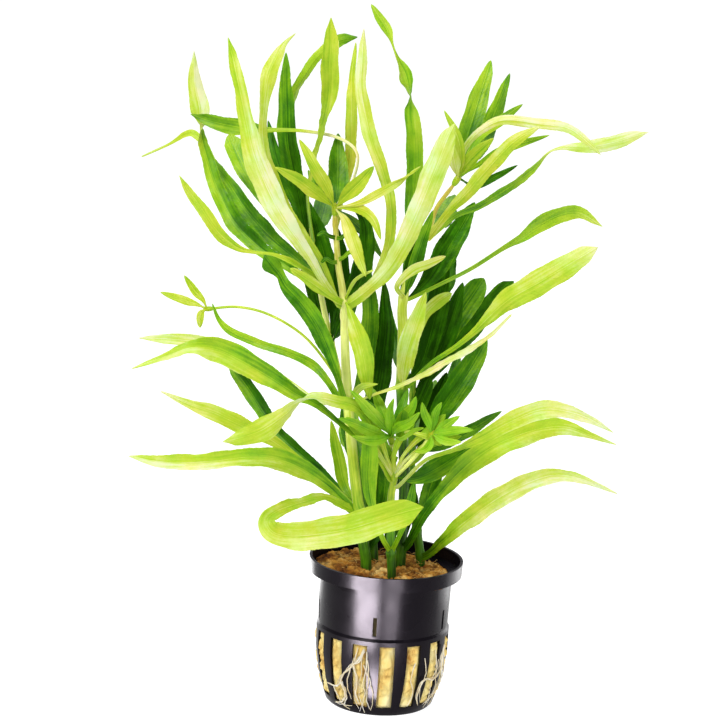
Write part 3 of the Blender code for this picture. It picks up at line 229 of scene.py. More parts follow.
# Leaf: its whorl, the tone of its slot, its tones from the root to the tip, the height of its margin's waves
# in mm, how much paler the half on the blade's own right is, how yellow it is against green, its route and,
# where the route gives no widths, its widest width and the share of its length where it is widest. A tone
# runs from 0, dark green, through 40, mid green, 55, lime, and 72, yellow green, to 100, cream.
LEAF_FIELDS = "name whorl slot tones wave_mm paler_half warmth route width_mm belly"
Leaf = namedtuple("Leaf", LEAF_FIELDS, defaults=(0, 0))
LEAVES = [
    Leaf("tall_pale", "left_high", "pale", [72, 82, 90, 88, 76, 64, 60], 0.3, -0.07, 0, [
        (323, 280, 17, 2.6, 180), (305, 250, 21, 4.2, 180), (284, 220, 24, 7, 180),
        (268, 190, 25, 8.4, 180), (254, 155, 26, 7.6, 180), (247, 125, 26, 5.4, 175),
        (241, 95, 26, 4.3, 170), (234, 62, 24, 3.6, 165), (228, 37, 22, 1.2, 160)
    ]),
    Leaf("tall_second", "left_high", "lime", [56, 58, 62, 68, 70, 76], 0.25, 0, 0.2, [
        (322, 262, 12, 2, 170), (290, 215, 13, 3.6, 170), (272, 175, 14, 4, 180), (263, 140, 14, 3.2, 180),
        (264, 110, 14, 2.8, 180), (268, 78, 13, 5.4, 180), (277, 56, 11, 4.4, 160), (284, 44, 10, 2, 150),
        (296, 33, 8, 0.8, 150)
    ]),
    Leaf("tall_left", "left_high", "lime", [30, 32, 34, 28, 42, 52, 82, 90], 0.4, -0.12, -0.1, [
        (318, 285, 3, 1.6), (290, 268, -4, 3.4), (258, 246, -10, 5.6), (234, 221, -16, 6.4),
        (218, 190, -20, 5.6), (207, 158, -23, 4.4, 10), (201, 135, -24, 4, 60), (200, 110, -25, 7, 165),
        (195, 85, -26, 5.2, 180), (194, 50, -26, 1, 180)
    ]),
    Leaf("arching_left", "left_high", "green", [46, 34, 26, 24, 30, 52, 70, 85], 0.35, -0.04, 0, [
        (322, 284, 2, 1.6), (300, 262, -2, 3.4), (270, 236, -8, 5.8), (245, 208, -14, 6),
        (228, 182, -19, 4.4), (212, 162, -26, 3.4, 10), (203, 143, -30, 3, 30), (189, 134, -32, 3.4, 40),
        (168, 145, -33, 1.2, 50), (141, 157, -34, 1.2, 50)
    ]),
    Leaf("left_inner", "left_high", "green", [45, 36, 26, 24, 38, 50], 0.35, 0, 0.3, [
        (326, 275, 8, 1.4), (302, 246, 6, 3), (276, 212, 4, 5), (254, 182, 0, 6.2), (240, 158, -4, 7.4),
        (229, 134, -8, 5)
    ]),
    Leaf("lime_sickle", "left_high", "lime", [40, 50, 60, 70, 66, 64, 66, 76], 0.2, 0, 0.3, [
        (322, 282, 14, 2, 50), (298, 266, 16, 3.2, 50), (275, 255, 18, 1.4, 30), (252, 252, 20, 1.3, 10),
        (236, 247, 21, 2.6), (218, 232, 23, 4.2), (200, 206, 24, 3.8), (188, 190, 25, 2.6),
        (179, 175, 26, 0.8)
    ]),
    Leaf("wavy_left", "left_mid", "green", [44, 32, 28, 30, 28, 30], 0.6, 0.05, -0.3, [
        (337, 375, 15, 2.4), (326, 345, 17, 5.4), (315, 322, 18, 6.2), (299, 300, 18, 6),
        (286, 286, 17, 4.2), (280, 275, 16, 3.4), (271, 264, 15, 6.4), (264, 255, 14, 3.5)
    ]),
    Leaf("pale_right", "left_high", "pale", [66, 72, 78, 84, 82, 76], 0.3, 0.06, 0, [
        (372, 286, 17, 4.4, 180), (392, 264, 22, 5.8, 180), (408, 234, 27, 6.6, 180),
        (423, 200, 31, 7.4, 180), (436, 168, 34, 7.8, 180), (447, 140, 36, 5.8, 175),
        (455, 123, 36, 2, 170)
    ]),
    Leaf("hanging", "left_high", "pale", [70, 62, 55, 58], 0.3, -0.05, 0, [
        (352, 318, 15, 0, 180), (361, 345, 18, 0, 180), (366, 372, 18, 0, 180), (370, 400, 16, 0, 170)
    ], 6.8, 0.5),
    Leaf("pale_middle", "left_high", "pale", [72, 64, 60, 62, 68, 76, 84, 90], 0.25, 0.05, 0.2, [
        (366, 291, 8, 2, 160), (383, 263, 10, 3.2, 180), (391, 230, 12, 3.6, 180), (390, 200, 13, 3.6, 180),
        (383, 172, 14, 4, 180), (374, 148, 14, 4.6, 180), (367, 122, 13, 4.8, 180), (361, 90, 12, 4, 180),
        (362, 60, 11, 3.4, 180), (364, 28, 10, 1, 180)
    ]),
    Leaf("crown_tall", "left_tip", "lime", [66, 62, 62, 62, 62, 62, 66], 0.2, 0, 0.6, [
        (342, 198, 3, 1.6, 180), (347, 175, -3, 3.4, 180), (351, 150, -5, 4, 180), (351, 120, -6, 4.2, 180),
        (352, 95, -6, 3.6, 180), (352, 75, -7, 2.2, 170), (354, 58, -7, 1.8, 155), (356, 42, -8, 0.9, 145)
    ]),
    Leaf("dark_tall", "back_left_tip", "dark", [2, 6, 14, 28, 36], 0.3, -0.04, 0, [
        (298, 190, -26), (288, 145, -28), (286, 100, -30), (286, 52, -32)
    ], 7, 0.5),
    Leaf("twisted_top", "back_left_tip", "green", [15, 25, 35, 42, 50, 55, 20], 0.25, 0, 0, [
        (302, 190, -34, 3), (288, 130, -38, 4, 20), (294, 96, -38, 4.2, 50), (305, 74, -37, 3.6, 20),
        (320, 54, -36, 3.6), (338, 41, -35, 4.6), (358, 37, -34, 1.8, 20)
    ]),
    Leaf("upright_lime", "back_left_tip", "lime", [46, 44, 54, 60, 60, 60, 62, 66], 0.3, 0.04, 0.3, [
        (308, 195, -20, 2, 120), (315, 160, -16, 3.2, 125), (322, 130, -13, 3.2, 130),
        (327, 108, -10, 4.4, 150), (330, 85, -8, 6.2, 180), (330, 60, -6, 6, 180), (331, 38, -5, 4.6, 180),
        (331, 17, -4, 1.4, 180)
    ]),
    Leaf("dark_left", "back_left_tip", "dark", [0, 6, 12], 0.3, 0.03, 0, [
        (296, 200, -34), (278, 165, -44), (268, 120, -52)
    ], 5.6, 0.5),
    Leaf("dark_inner", "back_left_mid", "dark", [0, 3, 8], 0.35, 0.03, 0, [
        (318, 295, -26), (308, 250, -32), (304, 200, -38)
    ], 8, 0.5),
    Leaf("dark_middle", "back_left_mid", "dark", [5, 10, 12], 0.35, 0.03, 0, [
        (345, 310, -12), (362, 270, -6), (366, 225, -2), (352, 205, 0)
    ], 7.4, 0.5),
    Leaf("narrow_left", "left_mid", "green", [44, 44, 46, 50, 48, 50], 0.2, 0.05, -0.1, [
        (328, 382, 10, 2.4), (312, 364, 8, 3.2), (285, 352, 7, 3), (255, 342, 5, 3), (232, 332, 4, 2.8),
        (219, 320, 3, 1.8, 20), (212, 303, 2, 0.8, 40)
    ]),
    Leaf("long_left", "front_mid", "lime", [72, 50, 38, 32, 45, 55, 62, 78, 88], 0.4, -0.12, 0, [
        (375, 455, 20, 2.6, 50), (345, 428, 23, 2.4, 40), (318, 406, 25, 2.6, 20), (296, 394, 26, 4.2),
        (268, 376, 28, 7), (240, 360, 29, 8.6), (215, 349, 30, 8.4), (190, 348, 31, 4.8, 20),
        (165, 357, 32, 2.8, 30), (131, 369, 32, 0.9, 30)
    ]),
    Leaf("long_left_back", "left_mid", "lime", [90, 90, 90, 85, 88, 94], 0.25, 0, 0, [
        (322, 403, 8, 1.2), (296, 386, 4, 1.3), (262, 362, -2, 1.6), (235, 350, -6, 3.6),
        (205, 343, -10, 5.2), (170, 339, -13, 3.8), (138, 338, -15, 0.9, 20)
    ]),
    Leaf("dark_low_left", "left_low", "dark", [32, 26, 22, 22, 26, 28], 0.3, -0.12, -0.2, [
        (335, 485, 0, 2.4), (305, 458, -6, 4.6), (280, 436, -11, 5), (262, 410, -16, 5.4),
        (248, 388, -21, 5.6), (230, 365, -27, 4)
    ]),
    Leaf("lime_low_left", "left_low", "lime", [54, 62, 66, 68, 76, 92], 0.3, 0, 0.2, [
        (332, 485, 2, 1.6), (302, 462, 2, 2.4), (268, 438, 0, 4.4), (238, 424, -2, 6.2),
        (212, 412, -3, 5.6, 10), (190, 405, -5, 3.6, 20), (160, 391, -6, 0.9, 40)
    ]),
    Leaf("longest", "left_low", "lime", [44, 50, 56, 64, 76, 86, 90], 0.35, -0.12, -0.1, [
        (330, 488, 10, 3.4), (304, 470, 14, 6.4), (280, 460, 17, 7.6), (250, 457, 20, 6.4, 10),
        (215, 461, 23, 6, 15), (180, 463, 25, 5.8, 20), (155, 461, 27, 4.2, 20), (128, 456, 28, 1.2, 20)
    ]),
    # The tone of 94 where grey_twisted's blade twists is a painted highlight
    Leaf("grey_twisted", "front_tip", "pale", [50, 50, 52, 68, 94, 74, 58, 70], 0.3, 0, -0.1, [
        (362, 412, 24, 4.2, 10), (335, 401, 28, 4.4, 10), (312, 398, 31, 4.4, 60), (297, 404, 32, 4.2, 120),
        (284, 415, 34, 5.4, 150), (262, 430, 34, 8, 180), (240, 438, 33, 5.2, 180), (222, 442, 33, 1, 180)
    ]),
    Leaf("folded", "left_low", "lime", [58, 68, 70, 70, 72, 80, 76, 68, 62], 0.35, 0.04, 0, [
        (325, 498, 14, 3.6, 40), (300, 503, 22, 4.4, 30), (277, 511, 30, 5, 15), (267, 521, 35, 5.6),
        (275, 533, 40, 7.4), (300, 536, 43, 9.6), (345, 530, 44, 10.6), (385, 518, 43, 10.2),
        (408, 511, 42, 8.4), (424, 507, 41, 2.5)
    ]),
    Leaf("edge_on", "left_mid", "pale", [76, 80, 84, 86, 82], 0.2, 0, 0.3, [
        (375, 394, 18, 0, 110), (410, 380, 24, 0, 112), (450, 358, 30, 0, 115), (485, 338, 34, 0, 112),
        (512, 314, 36, 0, 105)
    ], 5.4, 0.65),
    Leaf("broad_right", "right_mid", "pale", [48, 34, 38, 54, 60, 64, 70, 88], 0.35, 0.04, 0.1, [
        (430, 364, 8, 1.8, 150), (455, 347, 14, 1.9, 160), (475, 331, 18, 2.4, 175),
        (492, 314, 21, 4.8, 180), (510, 299, 24, 7.6, 180), (540, 282, 27, 8.6, 180),
        (568, 265, 29, 7.6, 180), (588, 253, 30, 5.4, 180), (598, 247, 30, 2.6, 180)
    ]),
    Leaf("stalked_right", "right_high", "green", [60, 50, 45, 50, 48, 50, 60, 90], 0.25, 0.04, 0, [
        (440, 284, 4, 1.6, 40), (470, 269, 0, 1.8, 40), (500, 250, -3, 1.9, 30), (520, 238, -5, 3.2, 20),
        (538, 226, -7, 5.4), (560, 215, -9, 5.6), (580, 213, -11, 4.2), (603, 227, -12, 0.9, 20)
    ]),
    Leaf("yellow_right", "right_node", "pale", [70, 64, 62, 64, 66, 76], 0.25, 0.06, 0.4, [
        (446, 215, 10, 2.6, 180), (465, 195, 16, 4.2, 180), (485, 172, 20, 4.8, 180),
        (505, 150, 24, 4.6, 180), (522, 136, 26, 3.4, 170), (540, 127, 28, 1.2, 160)
    ]),
    Leaf("thin_right", "right_node", "green", [60, 42, 36, 38, 50, 80, 82, 84, 95], 0.2, 0.03, 0, [
        (455, 216, -3, 2, 20), (480, 205, -7, 2.8, 25), (508, 188, -11, 3.2, 25), (532, 170, -15, 3, 40),
        (548, 153, -18, 2, 80), (565, 147, -20, 2.4, 140), (590, 147, -22, 4.6, 170),
        (615, 142, -24, 5.2, 180), (635, 136, -25, 3.6, 180), (649, 132, -26, 0.9, 180)
    ]),
    Leaf("dark_right_high", "right_high", "dark", [5, 10, 16, 20], 0.35, 0.05, 0, [
        (428, 280, -4), (446, 252, -10), (460, 228, -16), (475, 202, -22)
    ], 8.6, 0.5),
    Leaf("top_twisted", "right_high", "green", [18, 24, 30, 34, 36, 46, 46, 62, 56, 58], 0.3, -0.08, -0.2, [
        (408, 250, -6, 3), (413, 200, -10, 5.6), (415, 150, -12, 6), (412, 118, -12, 5.2),
        (411, 98, -12, 3.6, 75), (406, 76, -11, 5, 180), (398, 60, -10, 2.4, 230), (393, 46, -10, 1.2, 280),
        (386, 28, -10, 3.4, 360), (371, 4, -9, 2.6, 360)
    ]),
    Leaf("pale_centre", "right_mid", "pale", [74, 80, 82, 78], 0.35, -0.04, 0, [
        (404, 365, 6, 0, 180), (410, 340, 9, 0, 180), (418, 315, 11, 0, 180), (426, 292, 12, 0, 180)
    ], 7, 0.5),
    Leaf("dark_right_a", "back_right_mid", "dark", [2, 8, 22, 28, 32], 0.35, 0.06, 0, [
        (428, 368, -16, 2.6), (448, 334, -20, 6.6), (466, 305, -26, 8.6), (476, 290, -29, 7.6),
        (484, 278, -32, 3.4)
    ]),
    Leaf("dark_right_b", "back_right_mid", "dark", [2, 6, 12, 16], 0.35, 0.03, 0, [
        (436, 372, -26, 2.6), (468, 334, -36, 6.6), (490, 306, -43, 7.4), (503, 291, -47, 6),
        (514, 281, -50, 2.2)
    ]),
    Leaf("dark_right_c", "back_right_low", "dark", [6, 12, 20, 22, 30], 0.35, 0.06, 0, [
        (430, 428, -8), (452, 395, -8), (470, 368, -10), (487, 338, -12)
    ], 9.4, 0.6),
    Leaf("dark_right_d", "back_right_tip", "dark", [0, 5, 10], 0.35, 0.03, 0, [
        (432, 300, -34), (446, 275, -48), (452, 238, -60)
    ], 8.6, 0.5),
    Leaf("dark_right_e", "back_right_low", "green", [5, 10, 20], 0.35, 0.03, 0, [
        (425, 430, -24), (445, 400, -40), (460, 352, -58)
    ], 7, 0.5),
    Leaf("dark_centre", "back_left_low", "dark", [0, 3, 8], 0.35, 0.03, 0, [
        (370, 430, -20), (380, 375, -26), (386, 325, -32), (384, 280, -38)
    ], 8, 0.5),
    Leaf("lime_right", "right_foot", "lime", [12, 14, 20, 42, 55, 66, 70, 74, 95], 0.4, 0.06, 0, [
        (412, 536, 4, 3.2, 20), (424, 514, 8, 3.6, 20), (438, 496, 11, 4.2), (455, 477, 14, 5.8),
        (475, 459, 16, 8), (500, 443, 18, 8.8), (535, 430, 19, 8), (565, 427, 20, 5.4, 10),
        (590, 435, 21, 2.6, 20), (617, 445, 22, 0.8, 30)
    ]),
    Leaf("lime_right_top", "front_mid", "lime", [90, 85, 60, 60, 70, 86, 94, 98], 0.3, 0, 0, [
        (425, 460, 22, 2.4, 60), (455, 449, 27, 2.6, 50), (480, 438, 30, 4, 20), (508, 423, 33, 6),
        (540, 410, 35, 6.4), (565, 411, 36, 5, 10), (590, 419, 36, 3, 20), (614, 433, 36, 0.8, 30)
    ]),
    Leaf("low_right", "back_right_wool", "lime", [25, 40, 66, 78, 84, 88, 94, 97], 0.35, 0.06, 0, [
        (433, 551, -2, 2.8), (446, 538, 4, 4.4), (470, 518, 10, 6.6), (500, 497, 15, 7.2),
        (530, 482, 19, 6.4), (556, 475, 21, 5, 10), (585, 480, 23, 3, 30), (618, 494, 24, 0.9, 40)
    ]),
    Leaf("back_low_left", "back_left_low", "green", [20, 28, 30], 0.45, 0.04, 0, [
        (355, 452, -24), (350, 425, -42), (352, 400, -58)
    ], 9, 0.55),
    Leaf("back_low_right", "back_right_low", "green", [20, 28, 30], 0.45, 0.04, 0, [
        (418, 434, -22), (426, 408, -40), (436, 380, -58)
    ], 9, 0.55),
    Leaf("back_high_left", "back_left_tip", "green", [15, 25, 28], 0.45, 0.04, 0, [
        (318, 226, -36), (324, 205, -50), (328, 185, -62)
    ], 7.5, 0.55),
    Leaf("back_high_right", "right_node", "green", [15, 25, 28], 0.45, 0.04, 0, [
        (440, 222, -12), (448, 208, -28), (455, 195, -44)
    ], 7.5, 0.55),
]

# Leaflet: a small leaf fused to what it grows from
Leaflet = namedtuple("Leaflet", "tones wave_mm route width_mm", defaults=(0,))
STEM_LEAFLETS = {
    "stem_left": [
        ("left_high", Leaflet([62, 70], 0.15, [
            (330, 296, 18, 2.2), (312, 283, 24, 3.6), (290, 268, 28, 1.8)
        ])),
        ("left_high", Leaflet([75, 78], 0.12, [
            (352, 284, 14, 0, 60), (360, 276, 17, 0, 60), (374, 270, 19, 0, 60)
        ], 2.2)),
        ("left_mid", Leaflet([66, 72], 0.12, [(356, 392, 15), (364, 386, 20), (378, 384, 24)], 2.6)),
        ("left_mid", Leaflet([30, 32], 0.25, [
            (360, 380, 2), (368, 345, -2), (370, 300, -4), (364, 256, -6)
        ], 6.4)),
        ("left_low", Leaflet([50, 58], 0.22, [(345, 486, 2), (338, 456, 1), (331, 420, 0)], 4.6)),
    ],
    "stem_right": [
        ("right_mid", Leaflet([64, 66], 0.2, [
            (413, 352, 2, 1.2, 170), (424, 318, 1, 3, 180), (438, 302, 0, 4.4, 180),
            (452, 293, 0, 2.6, 180)
        ])),
        ("right_low", Leaflet([44, 50], 0.18, [(416, 458, 2), (428, 446, 4), (446, 440, 6)], 3.4)),
        ("right_mid", Leaflet([0, 5], 0.35, [
            (420, 366, -6), (433, 325, -9), (441, 287, -12), (446, 254, -14)
        ], 8.6)),
        ("right_high", Leaflet([16, 34], 0.22, [(411, 278, 8), (420, 248, 10), (433, 210, 11)], 4.6)),
        ("right_high", Leaflet([5, 12], 0.22, [(408, 282, -6), (414, 258, -10), (420, 234, -14)], 5.6)),
        ("right_high", Leaflet([80, 86], 0.15, [
            (397, 286, 10, 1.8), (413, 270, 13, 3.4), (430, 263, 14, 3), (446, 256, 14, 1.2)
        ])),
    ],
    "stem_front": [
        ("front_low", Leaflet([50, 54, 42, 38, 44], 0.25, [
            (382, 537, 18, 1.8), (373, 508, 20, 2.6), (369, 480, 20, 5.4), (370, 450, 20, 5.8),
            (368, 428, 19, 2)
        ])),
        ("front_low", Leaflet([50, 34, 28], 0.22, [
            (401, 532, 19, 1.8), (409, 508, 22, 3.8), (414, 482, 24, 1.2)
        ])),
        ("front_mid", Leaflet([26, 24], 0.3, [(416, 478, 14), (438, 468, 12), (474, 444, 8)], 7.4)),
    ],
    "stem_back_left": [
        ("back_left_low", Leaflet([12, 28], 0.22, [
            (352, 455, -22), (346, 420, -34), (345, 380, -44)
        ], 4.6)),
        ("back_left_mid", Leaflet([10, 20], 0.22, [(338, 332, -30), (352, 302, -42), (358, 264, -52)], 5)),
        ("back_left_mid", Leaflet([5, 12], 0.28, [
            (334, 300, -20), (326, 262, -24), (316, 226, -27), (306, 198, -30)
        ], 7.4)),
        ("back_left_mid", Leaflet([0, 6], 0.28, [(342, 308, -14), (342, 270, -14), (338, 228, -14)], 6.4)),
        ("back_left_foot", Leaflet([4, 14], 0.25, [(372, 520, -6), (376, 480, -8), (380, 430, -10)], 6)),
    ],
    "stem_back_right": [
        ("back_right_low", Leaflet([20, 28], 0.22, [
            (436, 448, -14), (470, 430, -22), (502, 411, -28)
        ], 4.6)),
        ("back_right_mid", Leaflet([10, 22], 0.22, [(404, 370, -30), (396, 345, -44), (388, 305, -56)], 5)),
        ("back_right_mid", Leaflet([2, 10], 0.3, [(431, 368, -16), (447, 332, -18), (463, 282, -22)], 7.8)),
        ("back_right_foot", Leaflet([16, 26], 0.25, [(424, 514, -5), (431, 486, -8), (447, 450, -10)], 6)),
        ("back_right_low", Leaflet([0, 10], 0.25, [
            (424, 430, -14), (434, 405, -15), (447, 372, -16)
        ], 6.6)),
    ],
}

# Crown: the young leaves closed round a bud at a stem's tip, with the place of the bud and its radius in mm
Crown = namedtuple("Crown", "stem bud bud_mm leaflets")
CROWNS = {
    "crown_left": Crown("stem_left", (335, 208, 10), 1.5, [
        Leaflet([64, 68], 0.2, [(327, 188, 15), (314, 165, 19), (299, 139, 20)], 4.4),
        Leaflet([56, 68], 0.2, [(320, 196, 15), (298, 180, 20), (275, 167, 24)], 4.6),
        Leaflet([60, 58], 0.22, [(350, 192, 13), (362, 180, 15), (374, 166, 16)], 5.2),
        Leaflet([72, 68], 0.15, [(358, 209, 14), (373, 219, 18), (381, 240, 20)], 3.4),
        Leaflet([80, 72], 0.15, [(362, 202, 15), (392, 186, 20), (421, 166, 24, 0, 180)], 3),
        Leaflet([80, 66], 0.22, [
            (346, 222, 15, 0, 180), (354, 245, 18, 0, 180), (366, 277, 18, 0, 180)
        ], 4.8),
        Leaflet([30, 42], 0.15, [(330, 200, 0), (318, 190, -10), (308, 170, -20)], 4),
        Leaflet([20, 32], 0.15, [(350, 219, 2), (368, 236, -6), (383, 259, -12)], 3.6),
        Leaflet([20, 30], 0.25, [(337, 190, 0), (338, 170, -4), (338, 133, -8)], 7.4),
        Leaflet([98, 98, 98, 96, 56, 42, 42, 28], 0.25, [
            (352, 182, 6, 1.4, 60), (357, 154, 2, 1.5, 60), (338, 138, -4, 1.5, 50),
            (302, 131, -10, 1.5, 40), (268, 130, -13, 2, 20), (250, 128, -15, 4.8), (232, 126, -17, 6),
            (210, 121, -20, 4.4), (190, 114, -22, 1)
        ]),
    ]),
    "crown_right": Crown("stem_right", (458, 178, 4), 1.5, [
        Leaflet([84, 86], 0.2, [
            (464, 150, 8, 2, 180), (480, 131, 12, 2.6, 180), (505, 120, 14, 3.4, 180),
            (540, 124, 16, 3.6, 180), (568, 128, 17, 3.2, 180), (586, 141, 18, 2.4, 180),
            (601, 155, 18, 0.9, 180)
        ]),
        Leaflet([26, 36], 0.22, [(478, 150, -10), (495, 112, -20), (510, 73, -26)], 6.2),
        Leaflet([40, 46], 0.15, [(474, 140, 0), (498, 122, -4), (523, 104, -8)], 4.2),
        Leaflet([40, 50], 0.12, [(478, 165, 6), (508, 148, 8), (550, 135, 8)], 3),
        Leaflet([18, 10], 0.12, [(476, 186, 0), (497, 176, -4), (518, 165, -8)], 2.6),
        Leaflet([72, 66], 0.15, [(461, 160, 10), (458, 138, 14), (444, 110, 16)], 3.2),
        Leaflet([76, 74], 0.15, [
            (455, 165, 12, 0, 180), (452, 150, 16, 0, 180), (448, 132, 18, 0, 180)
        ], 3.8),
        Leaflet([56, 62], 0.15, [(468, 162, 10), (480, 150, 14), (494, 138, 17)], 4.4),
        Leaflet([25, 34], 0.15, [(460, 172, -8), (462, 160, -18), (470, 140, -28)], 4),
        Leaflet([16, 56], 0.25, [(462, 155, -2), (474, 115, -6), (491, 60, -12)], 7.6),
    ]),
    "crown_front": Crown("stem_front", (391, 436, 16), 1.6, [
        Leaflet([58, 54], 0.18, [(378, 420, 22), (364, 404, 26), (350, 390, 28)], 4),
        Leaflet([60, 50], 0.18, [(374, 432, 24), (356, 424, 30), (338, 418, 34)], 4),
        Leaflet([50, 54], 0.15, [(384, 415, 16), (378, 400, 14), (372, 388, 12)], 3.6),
        Leaflet([56, 50], 0.2, [(402, 420, 20), (412, 408, 22), (416, 396, 22)], 4.2),
        Leaflet([58, 50], 0.18, [(398, 428, 24), (410, 422, 30), (420, 412, 34)], 3.6),
        Leaflet([62, 52], 0.18, [(380, 440, 24), (366, 440, 30), (352, 436, 34)], 3.6),
        Leaflet([74, 58], 0.15, [(402, 438, 22, 0, 60), (414, 430, 27, 0, 50), (424, 428, 30, 0, 40)], 3),
        Leaflet([58, 48], 0.15, [(390, 424, 22), (390, 410, 26), (394, 398, 28)], 3.2),
        Leaflet([34, 38], 0.18, [(396, 424, 8), (402, 408, 0), (408, 388, -6)], 3.6),
        Leaflet([30, 36], 0.18, [(384, 424, 8), (376, 412, 2), (366, 400, -4)], 3.4),
    ]),
    "crown_side": Crown("stem_front", (432, 434, 26), 1.4, [
        Leaflet([58, 50], 0.15, [(442, 428, 29), (450, 422, 31), (460, 416, 32)], 3.2),
        Leaflet([62, 54], 0.15, [(446, 432, 30), (460, 430, 32), (474, 430, 33)], 3.2),
        Leaflet([66, 68], 0.15, [(442, 440, 30), (452, 442, 32), (462, 442, 33)], 3),
        Leaflet([44, 46], 0.15, [(434, 422, 27), (436, 412, 28), (442, 402, 28)], 3),
        Leaflet([50, 46], 0.15, [(428, 422, 28), (424, 412, 30), (422, 402, 31)], 3),
        Leaflet([68, 62], 0.15, [(430, 444, 30), (424, 450, 33), (414, 452, 35)], 2.8),
    ]),
    "shoot_left": Crown("stem_left", (207, 309, -12), 1.2, [
        Leaflet([72, 68], 0.12, [(196, 304, -13), (180, 299, -14), (160, 292, -15)], 3),
        Leaflet([72, 58], 0.12, [(203, 300, -12), (194, 290, -13), (184, 275, -14)], 2.8),
        Leaflet([70, 70], 0.12, [(202, 312, -11), (200, 318, -10), (200, 328, -10)], 2.8),
    ]),
}
# Thin shoots that carry a crown away from its stem: whorl and route up to the crown
SHOOTS = {
    "crown_side": ("front_mid", 1.5, [(408, 464, 19), (422, 448, 23)]),
    "shoot_left": ("left_mid", 1.0, [(333, 372, 4), (305, 337, 0), (270, 315, -4), (238, 307, -8)]),
}

# Leaflets that no solid has, in the scene only, as (row of the picture where they leave their stem, tones,
# route)
YOUNG_WAVE_MM = 0.15
YOUNG_PALER_HALF = 0.04
YOUNG_WARMTH = 0.2
YOUNG = {
    "stem_left": [
        (556, [3, 4, 8, 12], [
            (371, 546, 3, 2), (377, 532, 1, 4.6), (381, 518, 0, 4.6), (384, 506, 0, 1.4)
        ]),
        (238, [34, 22, 26], [(329, 236, 12, 1.5), (323, 233, 13, 1.7), (317, 236, 14, 0.9)]),
        (238, [40, 26, 30], [(341, 238, 12, 1.4), (347, 234, 13, 1.6), (353, 237, 13, 0.9)]),
        (262, [44, 34, 30], [(332, 262, 12, 1.3), (326, 259, 13, 1.5), (321, 263, 13, 0.9)]),
        (260, [50, 44, 40], [(344, 257, 12, 1.3), (350, 252, 13, 1.5), (354, 256, 13, 0.9)]),
    ],
    "stem_front": [
        (556, [2, 3, 6, 10], [(389, 546, 10, 2), (391, 534, 8, 4.6), (394, 518, 6, 5), (396, 505, 5, 1.4)]),
        (478, [84, 78, 52, 46], [
            (384, 462, 18, 1.5), (374, 447, 20, 2.2), (360, 432, 23, 4), (346, 417, 26, 1.8)
        ]),
        (478, [84, 74, 56, 50], [
            (386, 455, 18, 1.5), (380, 438, 19, 2.4), (370, 418, 20, 4), (361, 403, 21, 1.6)
        ]),
        (478, [82, 66, 36, 34], [
            (394, 455, 18, 1.6), (400, 438, 20, 3), (407, 420, 21, 5.6), (408, 404, 21, 2.4)
        ]),
        (478, [90, 86, 60, 46], [
            (402, 458, 18, 1.2), (412, 445, 20, 1.6), (424, 434, 22, 2.6), (436, 424, 24, 3.2),
            (446, 414, 25, 1.5)
        ]),
        (478, [92, 88, 62, 50], [
            (404, 462, 18, 1.2), (418, 450, 20, 1.4), (432, 442, 22, 2.4), (450, 438, 24, 2.8),
            (462, 436, 25, 1.2)
        ]),
        (455, [92, 90, 70, 54], [
            (398, 439, 19, 1.1), (407, 432, 21, 1.3), (418, 434, 22, 1.5), (430, 438, 23, 2.4),
            (442, 446, 24, 1.3)
        ]),
    ],
    "stem_right": [
        (545, [4, 4, 8, 12], [
            (408, 525, -6, 2), (411, 505, -5, 5), (406, 488, -5, 5.4), (398, 473, -5, 3),
            (392, 463, -5, 1.2)
        ]),
        (436, [4, 6, 10, 12], [
            (411, 424, -5, 2.4), (417, 410, -7, 5), (424, 394, -8, 5.6), (431, 378, -9, 1.8)
        ]),
    ],
    "stem_back_left": [
        (540, [10, 14, 20, 26], [
            (377, 520, -6, 2), (383, 500, -5, 4.2), (385, 480, -4, 4.2), (382, 463, -4, 2.4),
            (379, 452, -4, 1.2)
        ]),
    ],
}

# Roots over the pot's side. A strand is a list of (angle round the pot from the front, mm above the table).
ROOT_THICK = 0.75 * MM
ROOT_LIFT_MM = 0.95
ROOTS = {
    "roots_left": [
        [(-15, 26), (-19, 22), (-26, 18.5), (-34, 15), (-38, 11), (-44, 9.5), (-55, 9.5)],
        [(-24, 19.5), (-20, 14), (-22, 9), (-19, 4.5)],
        [(-36.5, 12), (-33, 7.5), (-38, 4), (-47, 2.6)],
    ],
    "roots_right": [
        [(64, 25), (60, 20), (62, 15.5), (52, 13), (44, 14), (38, 13), (36, 8.5), (39, 4.5)],
        [(61, 18), (68, 12), (60, 6.5), (50, 4)],
    ],
}

